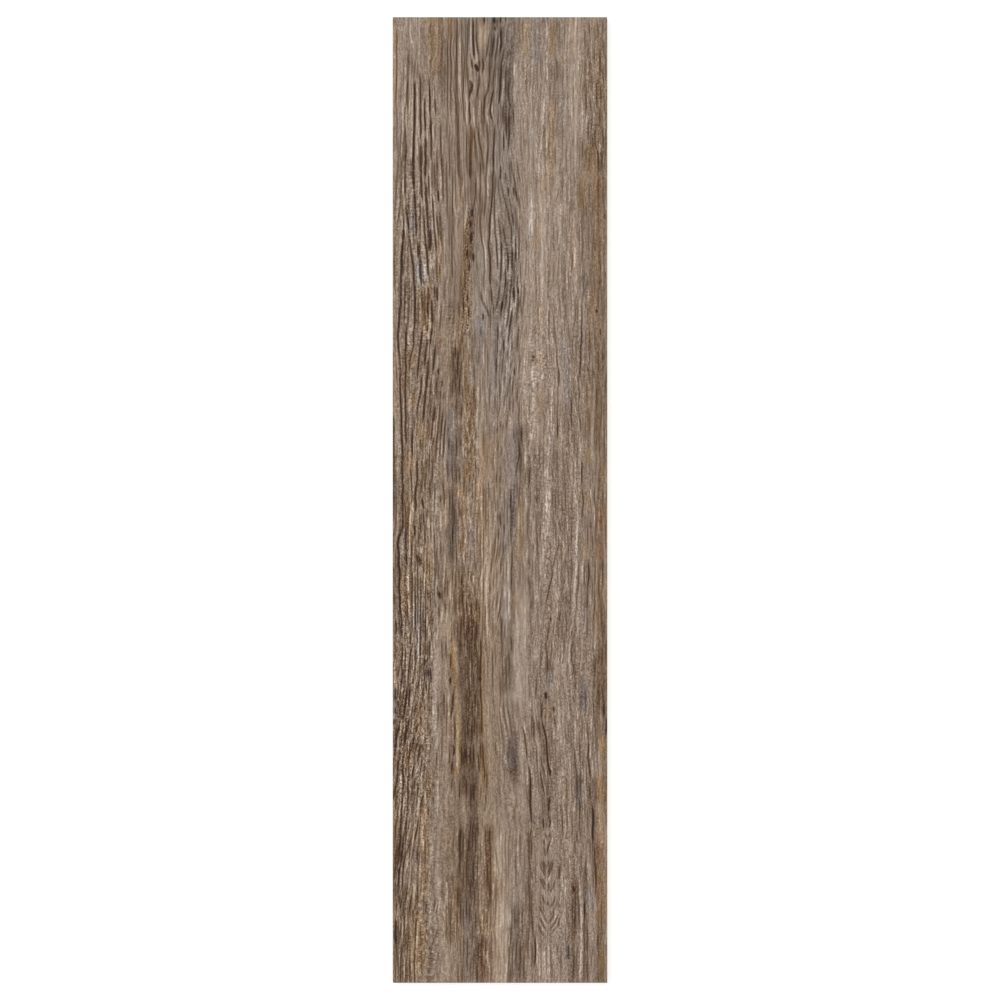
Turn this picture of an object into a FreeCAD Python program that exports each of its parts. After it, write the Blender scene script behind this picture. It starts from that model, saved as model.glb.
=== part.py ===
"""Wood look porcelain plank tile: one pressed, fired and rectified slab.

Sizes are in millimetres. X runs across the plank, Y along it and Z up. The origin is the
centre of the plane that the tile's back stands on, so the printed face is at THICKNESS.

The face is flat here, because its wood grain is fine relief. The back carries the key
pattern that the press leaves for the adhesive: pads with clipped corners and sloped sides,
standing in a shallow field inside a plain rim. The whole skin is one closed shell.
"""

import os

import FreeCAD
import Part

# Slab
WIDTH = 200.0
LENGTH = 900.0
THICKNESS = 9.5

# Narrow bevel that the grinding wheels leave along the printed face
BEVEL = 0.5

# Key pattern in the back
RIM = 8.0  # plain border round the field, at the back plane
KEY_DEPTH = 0.7  # from the back plane to the floor of the channels
KEY_DRAFT = 0.5  # how far each pressed wall leans over KEY_DEPTH
CHANNEL = 3.2  # between neighbouring pads, at the back plane
PAD_TARGET = 22.0  # pads are as near to this as a whole number of them allows
PAD_CLIP = 3.0  # leg of the corner cut off each pad

FIELD_X = WIDTH - 2 * RIM
FIELD_Y = LENGTH - 2 * RIM

PART_FOLDER = "parts"
NODE = "plank_tile"


def rectangle(half_x, half_y):
    """Corners of a rectangle about the origin."""
    return [(half_x, half_y), (-half_x, half_y), (-half_x, -half_y), (half_x, -half_y)]


def clipped_rectangle(half_x, half_y, clip):
    """Corners of a rectangle about the origin, each cut off by a leg of clip."""
    return [
        (half_x, half_y - clip),
        (half_x - clip, half_y),
        (clip - half_x, half_y),
        (-half_x, half_y - clip),
        (-half_x, clip - half_y),
        (clip - half_x, -half_y),
        (half_x - clip, -half_y),
        (half_x, clip - half_y),
    ]


def outline(corners, height, centre=(0.0, 0.0)):
    """A closed wire through corners (x, y) about a centre, at one height."""
    middle = FreeCAD.Vector(centre[0], centre[1], height)
    points = [middle + FreeCAD.Vector(x, y, 0.0) for x, y in corners]
    return Part.makePolygon(points + points[:1])


def flat(outer, holes=()):
    """The plane face inside one wire and outside the others."""
    return Part.makeFace([outer, *holes], "Part::FaceMakerBullseye")


def leaning_wall(lower, upper):
    """Flat faces from each edge of one wire to the same edge of another."""
    return Part.makeLoft([lower, upper], False, True).Faces


def pads_along(field):
    """How many pads go along a field, and the pad size that then fills it exactly."""
    count = max(1, round((field - CHANNEL) / (PAD_TARGET + CHANNEL)))
    return count, (field - CHANNEL * (count + 1)) / count


def pad_centres(count, size):
    """Centres of a row of pads about the origin."""
    pitch = size + CHANNEL
    return [pitch * (i - (count - 1) / 2) for i in range(count)]


def block():
    """The rectified slab with a plain back and the bevel round its printed face."""
    corner = FreeCAD.Vector(-WIDTH / 2, -LENGTH / 2, 0.0)
    plain = Part.makeBox(WIDTH, LENGTH, THICKNESS, corner)
    face_edges = [edge for edge in plain.Edges if edge.BoundBox.ZMin > THICKNESS / 2]
    return plain.makeChamfer(BEVEL, face_edges)


def key_pattern(back):
    """The faces that take the place of a plain back: rim, field walls, channels and pads."""
    mouth = outline(rectangle(FIELD_X / 2, FIELD_Y / 2), 0.0)
    floor_x, floor_y = FIELD_X / 2 - KEY_DRAFT, FIELD_Y / 2 - KEY_DRAFT
    floor = outline(rectangle(floor_x, floor_y), KEY_DEPTH)
    faces = [flat(back.OuterWire, [mouth]), *leaning_wall(mouth, floor)]

    count_x, size_x = pads_along(FIELD_X)
    count_y, size_y = pads_along(FIELD_Y)
    top_corners = clipped_rectangle(size_x / 2, size_y / 2, PAD_CLIP)
    foot_corners = clipped_rectangle(size_x / 2 + KEY_DRAFT, size_y / 2 + KEY_DRAFT, PAD_CLIP)
    feet = []
    for x in pad_centres(count_x, size_x):
        for y in pad_centres(count_y, size_y):
            top = outline(top_corners, 0.0, (x, y))
            foot = outline(foot_corners, KEY_DEPTH, (x, y))
            faces.append(flat(top))
            faces.extend(leaning_wall(top, foot))
            feet.append(foot)
    faces.append(flat(floor, feet))
    return faces


def plank_tile():
    """The slab's own faces, with the key pattern in place of its back, closed to one solid."""
    faces = block().Faces
    back = min(faces, key=lambda face: face.CenterOfMass.z)
    skin = [face for face in faces if face is not back]
    shell = Part.Shell(skin + key_pattern(back))
    shell.sewShape()
    return Part.Solid(shell)


os.makedirs(PART_FOLDER, exist_ok=True)
tile = plank_tile()
tile.exportStep(f"{PART_FOLDER}/{NODE}.step")
size = tile.BoundBox
print(f"{NODE}: valid {tile.isValid()}, {len(tile.Faces)} faces, {tile.Volume / 1000:.1f} cm3")
print(f"{size.XLength:.2f} x {size.YLength:.2f} x {size.ZLength:.2f} mm")
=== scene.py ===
import math

import bmesh
import bpy
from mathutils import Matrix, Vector, noise


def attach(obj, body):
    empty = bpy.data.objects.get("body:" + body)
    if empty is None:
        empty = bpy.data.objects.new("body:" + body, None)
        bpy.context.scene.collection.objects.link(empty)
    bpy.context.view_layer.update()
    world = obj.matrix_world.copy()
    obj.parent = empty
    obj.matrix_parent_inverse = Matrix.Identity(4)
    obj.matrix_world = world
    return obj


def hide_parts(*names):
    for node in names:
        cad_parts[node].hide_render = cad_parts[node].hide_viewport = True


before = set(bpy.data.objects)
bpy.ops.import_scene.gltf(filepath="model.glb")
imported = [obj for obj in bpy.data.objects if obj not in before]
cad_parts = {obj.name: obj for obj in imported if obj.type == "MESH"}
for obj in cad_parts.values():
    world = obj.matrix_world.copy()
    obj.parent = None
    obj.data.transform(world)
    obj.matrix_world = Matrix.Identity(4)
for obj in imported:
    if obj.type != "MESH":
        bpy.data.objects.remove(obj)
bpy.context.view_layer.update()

NODE = "plank_tile"
MILLIMETRE = 0.001
SCREEN = 1.0 / 255.0

# Picture units: the places of the face's edges in the picture. The print is laid out in them.
FACE_LEFT, FACE_RIGHT = 392.2, 607.8
FACE_TOP, FACE_BOTTOM = 17.0, 983.0
PICTURE = 1000.0

# Relief of the face
COLUMNS = 322
ROW_STOPS = [824.0, 944.0]
ROW_COUNTS = [217, 52, 11]
ROWS = sum(ROW_COUNTS)
BEVEL = 0.5 * MILLIMETRE
DEEPEST = 0.35 * MILLIMETRE

# How lines and bands are drawn, in picture units
REACH = 3.0
RUN_STEP = 24.0
TAPER = 0.22
LONGEST_TAPER = 7.0
BAND_EDGE = 4.5
BAND_FADE = 14.0
SHADE_EDGE = 3.5

# Places of the materials on the piece
FACE, SIDE, BACK = range(3)

# The fired body under the print
BODY = (0.56, 0.475, 0.37)
GRAIN_SIZE = 1.3 * MILLIMETRE
CLOUD_SIZE = 25.0 * MILLIMETRE
COAT = 0.45 * MILLIMETRE
SCRATCH = 0.25 * MILLIMETRE
SCRATCH_LENGTH = 30.0 * MILLIMETRE
WASH = 0.3 * MILLIMETRE
FINE_RELIEF = 0.02 * MILLIMETRE

# The floor round the tile, in metres
LEDGE = 1.0 * MILLIMETRE
FLOOR_REACH = 6.0

# Camera, in millimetres
LENS = 85.0
SENSOR = 36.0

# The print, drawn in picture units. A stroke is its half width and then the u and v
# of each of its points, from top to bottom. A shade begins with its strength.

CRACKS = [
    (0.9, 407.8, 76, 407.4, 92, 407.2, 112),
    (1.3, 414.6, 78, 414.4, 100, 414.2, 129, 413.4, 150, 413, 176),
    (1, 419.7, 72, 420.1, 94, 420.3, 113, 420.4, 141), (1.7, 420.4, 143, 420.7, 155, 420.8, 168),
    (0.9, 424.2, 97, 424.4, 114, 424.9, 134), (1.4, 425.1, 134, 425.5, 150, 426, 168),
    (0.8, 429, 84, 429.4, 100, 429.8, 117), (1, 430.2, 117, 430.8, 140, 431.3, 163),
    (0.9, 434.4, 96, 434.9, 106, 435.3, 115), (1, 405.6, 130, 405.2, 148, 404.9, 166),
    (1.2, 472.6, 17, 472.6, 30, 472.8, 42, 473.6, 52, 474.2, 60),
    (1, 500.6, 26, 501.2, 34, 501.4, 41, 500.8, 48, 499.4, 54), (0.9, 500.6, 14, 500.4, 23),
    (1.4, 494, 15, 494.2, 23), (1, 494.6, 25, 495.2, 32), (1.9, 474.4, 63, 476.6, 68, 478.4, 73),
    (0.9, 482.8, 57, 483.2, 65, 482.2, 74), (1.5, 469.6, 79, 471.6, 85, 471, 91, 469.6, 97),
    (1, 469, 98, 469, 108, 469.8, 116, 469, 126),
    (1, 501.6, 60, 501.4, 70, 500.4, 80, 500, 90, 499.4, 100, 497.8, 107),
    (0.9, 493.4, 86, 492.4, 95, 491.2, 103, 490.2, 109, 490.3, 114, 492, 119, 494.6, 125),
    (0.9, 494.2, 124, 494.4, 136, 493.8, 147, 493.3, 158, 493.4, 166), (0.7, 503.8, 132, 503.6, 152),
    (0.8, 509.3, 126, 508.8, 142, 508.7, 150), (0.8, 505.6, 14, 505.6, 22), (0.8, 484.6, 14, 484.4, 25),
    (0.9, 493.4, 166, 492.6, 180, 491.9, 194, 491, 208, 489.9, 222, 489.3, 233, 488.7, 243, 489.3, 253,
     490.1, 263, 490.3, 276, 490.5, 288), (0.9, 490.8, 286, 491.8, 297, 492.4, 306),
    (0.8, 500.5, 165, 500.7, 182),
    (0.8, 494.9, 196, 494.6, 212, 494.9, 225, 495.8, 238, 496.7, 250, 497.4, 262, 497.3, 274),
    (0.9, 500.7, 238, 501.5, 250, 501.6, 262, 501.1, 275, 500.2, 285), (0.9, 508, 186, 509.2, 197),
    (0.9, 512.2, 212, 513.6, 227), (0.7, 505.4, 172, 506.2, 182), (0.8, 507.4, 249, 508, 262, 507.7, 273),
    (0.9, 505.7, 268, 505.8, 280, 504.6, 290), (0.9, 515.7, 236, 516, 250, 515.4, 262),
    (1.35, 514, 286, 514, 302), (0.9, 512, 246, 512.4, 262, 512.2, 273),
    (1.05, 512.4, 308, 510.6, 321, 509, 332), (0.95, 502.4, 300, 501.2, 312), (0.7, 513, 186, 513.8, 197),
    (0.7, 516, 190, 516.6, 201), (1.2, 472, 209, 472, 217), (1, 470.6, 219, 470.8, 229),
    (1.3, 471, 232, 470.6, 243), (1, 466.8, 248, 467.2, 259), (1.1, 473, 252, 473.2, 263),
    (1, 469.4, 262, 469, 272), (0.9, 467.4, 294, 468, 304), (0.9, 469, 306, 468.4, 318),
    (0.9, 482.8, 312, 483, 321), (0.9, 404.6, 158, 404.3, 172, 404.8, 186, 404.6, 199),
    (1, 405.2, 204, 406.4, 214, 407.5, 223, 408.8, 232),
    (1, 409.2, 235, 409.8, 245, 410.9, 255, 412.1, 263, 412.9, 272, 413.6, 281, 414.4, 291, 414.4, 302,
     414.3, 314, 414, 330), (1.4, 413.1, 154, 412.5, 170, 412.8, 180, 413.3, 190),
    (1.1, 414.3, 190, 414.7, 201, 415.4, 211, 415.9, 221, 416, 231, 415.6, 238),
    (0.9, 417, 238, 417.4, 250, 418.1, 260), (1.7, 402.9, 228, 402.6, 240),
    (1.2, 401.9, 240, 401.4, 251, 401, 262, 400.9, 273, 400.5, 284, 400.2, 294, 400.2, 303, 399.2, 313,
     398.5, 322, 398.1, 334), (1.2, 420.6, 158, 420.5, 173, 421.2, 183, 421.6, 194, 422.2, 202),
    (1.5, 425.7, 156, 425.2, 168, 425.6, 178),
    (1.2, 425.5, 182, 426, 195, 426.6, 206, 427.2, 216, 427.5, 226, 428.1, 235, 428.3, 244, 427.7, 253),
    (1, 432.4, 196, 433.3, 210, 433.9, 222, 434.7, 233, 435.3, 243, 435.7, 254),
    (1.5, 430.4, 229, 430, 241, 429.4, 252), (1.1, 420, 256, 420, 267, 420.3, 277, 421.2, 287),
    (1.3, 427.8, 284, 428.3, 296, 427.9, 307, 428.1, 320), (1.1, 431.6, 298, 431.8, 312, 432.4, 326),
    (1.1, 436.8, 286, 437.2, 302), (0.9, 438, 190, 438.4, 203),
    (1, 398, 325, 397.5, 335, 398, 345, 399, 353, 399.6, 366, 399.9, 380, 400.2, 395, 400.9, 411, 401.3,
     425, 401.5, 440, 401.8, 451, 402.3, 459, 401.6, 466, 402, 475, 402.3, 487),
    (0.9, 406.2, 325, 405.8, 338, 405, 354, 405.5, 368, 404.8, 384, 405, 400, 405.3, 415, 404.7, 426,
     405.2, 437, 405.6, 444), (0.8, 413.8, 325, 413.2, 338, 412.6, 347, 411, 355, 409.8, 364, 409.6, 373),
    (1, 422.5, 329, 421, 340, 419.8, 349, 418.8, 358, 417.6, 370, 416.8, 380), (1, 427.6, 324, 427, 332),
    (1, 426.7, 335, 426, 347, 425, 358, 424.3, 370), (1.1, 431.4, 326, 431.2, 336),
    (1.1, 430.4, 336, 430, 345),
    (1.2, 428.6, 357, 427.6, 368, 426.4, 379, 425.4, 389, 424.7, 398, 423.4, 411, 422, 424),
    (1, 435.5, 344, 434.3, 354, 433.3, 364, 432.6, 374), (1.2, 438, 367, 438, 375),
    (1, 412, 429, 411.8, 441, 412, 450, 411.7, 458), (0.8, 417, 458, 416.8, 471, 417, 484),
    (1.1, 434.9, 405, 434, 415, 432.9, 424),
    (1, 402.3, 480, 402.6, 487, 402.4, 493, 402.1, 498, 402.5, 507, 402.3, 514, 402.5, 521, 402.3, 526,
     401.3, 531, 398.8, 536, 397.5, 541, 396.9, 545, 397.5, 549, 398.8, 553, 398.8, 558, 398.5, 563, 399.1, 569, 399.4, 575, 399.1, 581, 398.8, 586, 399.1, 593, 399.8, 599, 399.8, 605, 399.5, 609, 400.3, 613, 401, 618, 401.3, 624, 401, 630, 401.9, 640),
    (1.1, 416.2, 478, 416, 486, 415.2, 491, 414.8, 497, 415.4, 502, 415.4, 508, 415, 513),
    (1.1, 421.3, 497, 422.4, 503, 424, 510), (0.8, 413.8, 523, 414.8, 530, 414.2, 537),
    (0.9, 395.2, 618, 396, 626, 395.2, 636), (1, 438.4, 590, 439.4, 600),
    (1, 401.9, 639, 402.1, 648, 401.9, 656, 401.2, 664, 402, 671, 401.4, 678, 401, 684, 400.2, 690),
    (0.8, 410.8, 686, 409, 696, 408.2, 705, 410, 709),
    (0.8, 407, 688, 405.4, 699, 404, 708, 402.4, 716, 401.4, 724),
    (1.1, 408.9, 717, 407.6, 723, 406.2, 729, 405, 737, 404.4, 745),
    (0.9, 399.4, 722, 397.5, 730, 396, 739, 395, 747, 394, 756), (1.1, 400, 751, 398.8, 756),
    (0.8, 398.4, 759, 397, 770), (1, 419.6, 743, 419.4, 750, 418.4, 756, 416.6, 763),
    (0.8, 411.2, 737, 410, 749, 408.6, 757, 407.2, 766), (0.8, 421.6, 744, 423, 752),
    (0.8, 418, 735, 417.2, 744, 416.2, 750), (0.8, 415.4, 702, 414.6, 710, 413.4, 718),
    (0.9, 417.6, 722, 415.8, 730, 415, 735), (0.8, 414, 735, 412.4, 745, 411.4, 752),
    (0.9, 394.4, 686, 394.8, 694, 394.2, 702), (0.9, 397.4, 700, 398, 707), (1, 394.4, 708, 394.8, 714),
    (0.9, 394, 718, 393.8, 725), (0.9, 450.2, 652, 450.4, 662, 450.2, 670), (1.1, 450.3, 676, 449.8, 681),
    (0.9, 449.8, 682, 450.2, 686), (0.8, 453.4, 690, 452.6, 700, 451.6, 710, 450.8, 719),
    (0.9, 452.6, 744, 453.8, 751, 453, 757), (0.8, 452.6, 760, 451.8, 768, 451, 774),
    (0.8, 397, 770, 396.6, 778, 395.4, 786, 394.6, 793), (0.8, 403.6, 763, 401.8, 774),
    (0.8, 414.8, 762, 412.8, 772, 411.2, 780), (0.8, 403, 772, 402.6, 783, 401.6, 793),
    (1.2, 432, 738, 432.4, 742), (0.8, 416, 774, 414.2, 784, 413.2, 789),
    (0.8, 408.8, 772, 407.6, 784, 406.8, 796), (1.2, 394, 786, 393.8, 793, 393.2, 800),
    (0.9, 417.8, 815, 416.9, 825, 415.6, 834, 414.4, 843), (0.8, 401.2, 851, 401, 858),
    (0.8, 398.8, 867, 398.2, 876), (1.1, 394.4, 916, 395.4, 924, 394.8, 934, 395.2, 946),
    (0.9, 481, 636, 480.8, 651, 480.3, 663, 480.1, 672, 479.8, 680), (1.4, 480, 676, 480, 683),
    (0.8, 480.6, 683, 481, 696, 481.6, 709, 481.6, 724, 482.3, 738),
    (0.54, 459.3, 776, 459.8, 788, 459.6, 800), (0.6, 464.4, 749, 464.8, 758),
    (0.54, 470.3, 746, 470.5, 765), (0.6, 482.3, 738, 482.9, 754, 483.5, 762, 484.8, 772, 484.6, 783),
    (1, 510.2, 770, 510.8, 774),
    (0.9, 541.9, 719, 543, 724, 544.4, 731, 546.3, 740, 546.9, 749, 547.5, 759, 548.8, 769, 550, 776),
    (1.4, 550.6, 770, 550.6, 776),
    (0.8, 521.3, 724, 523, 729, 525, 736, 525.6, 744, 526.9, 754, 527.5, 762),
    (1, 527.8, 762, 529.4, 771, 530.6, 781, 530, 790, 531.3, 802), (1.1, 553.8, 705, 554, 713),
    (0.9, 588.8, 740, 588.9, 749, 588.2, 756, 588.8, 763, 590, 771, 591.3, 780),
    (0.9, 604.4, 704, 605, 717), (1.3, 545.8, 691, 546.4, 700), (0.8, 606.6, 716, 606.4, 736),
    (1, 529.6, 796, 530.7, 809, 531.2, 817, 532, 825), (0.9, 549.3, 797, 549, 806, 548.6, 813),
    (0.8, 548.8, 815, 550.1, 819, 549.8, 825, 548.6, 829), (0.8, 543.1, 818, 543.6, 830),
    (0.8, 544, 839, 544.4, 846), (0.8, 552.1, 833, 550.3, 841, 547.9, 848, 546.4, 855),
    (1, 592.6, 804, 593.4, 818, 593.1, 831, 593.6, 844),
    (0.9, 535, 934, 535.7, 948, 535.4, 959, 534.3, 967), (1, 574, 886, 574.2, 893),
    (0.8, 585, 902, 585, 916), (1.2, 596.8, 308, 597, 314), (0.8, 515.6, 239, 515.9, 247),
    (0.8, 516.2, 251, 516, 260), (0.95, 512.4, 289, 514, 300), (0.95, 518.6, 288, 518.4, 295),
    (0.6, 570.8, 397, 571.4, 404, 571.6, 414), (0.7, 582, 458, 582.2, 470, 582, 486),
    (0.7, 600.6, 328, 600.8, 337), (0.9, 558.8, 368, 559.4, 378, 559.2, 387),
    (0.6, 578.6, 384, 580, 394, 579, 402), (0.3, 557.8, 420, 557.8, 440),
    (0.5, 558.8, 537, 558.8, 546, 556.3, 552, 555, 559, 553.1, 568, 552.3, 576, 550.6, 584, 548.8, 591,
     546.9, 599, 545.6, 604), (1, 550.9, 616, 551.3, 623),
    (0.6, 582, 486, 582.5, 489, 583.5, 499, 582.8, 509, 581.9, 521),
    (0.8, 588.1, 559, 589.4, 569, 589, 580, 588.2, 588), (0.5, 512.6, 545, 511.6, 570, 511.2, 590),
    (0.4, 511.4, 490, 511.2, 520, 511, 545), (0.7, 498.2, 324, 497.8, 334, 497.4, 342),
    (0.5, 497.4, 342, 497, 356), (0.7, 497, 356, 496.4, 366, 496.2, 376),
    (0.85, 504.2, 338, 503.8, 346, 504, 354), (0.65, 508.8, 334, 508.2, 344),
    (0.85, 514.8, 367, 514.4, 376), (0.55, 510.4, 326, 510, 336),
    (0.8, 500.8, 511, 500.2, 518, 500.6, 527), (0.5, 452, 494, 452, 514, 451.6, 524),
    (0.6, 452.2, 524, 452.2, 546), (0.5, 498.8, 528, 498.4, 540),
    (0.5, 500.8, 597, 499.8, 609, 498.2, 617, 497, 622), (0.3, 470.2, 818, 470, 830, 469.4, 840),
    (0.48, 468.8, 838, 468.6, 852), (0.18, 467, 850, 466.6, 868, 466.8, 888),
    (0.24, 490.8, 876, 491, 905), (0.5, 467.4, 938, 467, 956), (0.6, 405.9, 552, 406.3, 560, 407.2, 568),
    (0.95, 411.4, 568, 411.7, 590, 411.5, 616),
    (0.95, 420.1, 574, 420.4, 590, 420, 610, 420.1, 640, 419.7, 658),
    (0.95, 414.8, 573, 414.9, 600, 414.7, 640), (0.95, 417.4, 574, 417.5, 600, 417.3, 628),
    (0.95, 422.6, 600, 422.5, 620, 422.4, 638), (0.95, 419.4, 556, 419.7, 567),
    (0.6, 406.9, 602, 407, 612, 408, 624, 408.3, 630), (0.6, 407.4, 635, 406.6, 647),
    (0.7, 413, 642, 411, 650, 409.7, 659, 408.5, 667, 407.5, 676, 407.2, 684),
    (0.8, 425.2, 612, 425.2, 630, 425.3, 644), (0.8, 429.4, 640, 429.3, 658),
    (0.95, 424.4, 656, 424.2, 666), (0.7, 427, 656, 427, 663), (0.8, 425.8, 681, 426.2, 693),
    (0.8, 430.4, 668, 430.7, 684), (0.7, 428.4, 668, 428.2, 678), (0.9, 412.5, 678, 412.6, 684),
    (0.9, 427.6, 589, 427.9, 601), (0.95, 416.5, 553, 416.6, 564), (0.4, 411, 541, 411.3, 552),
]
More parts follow.
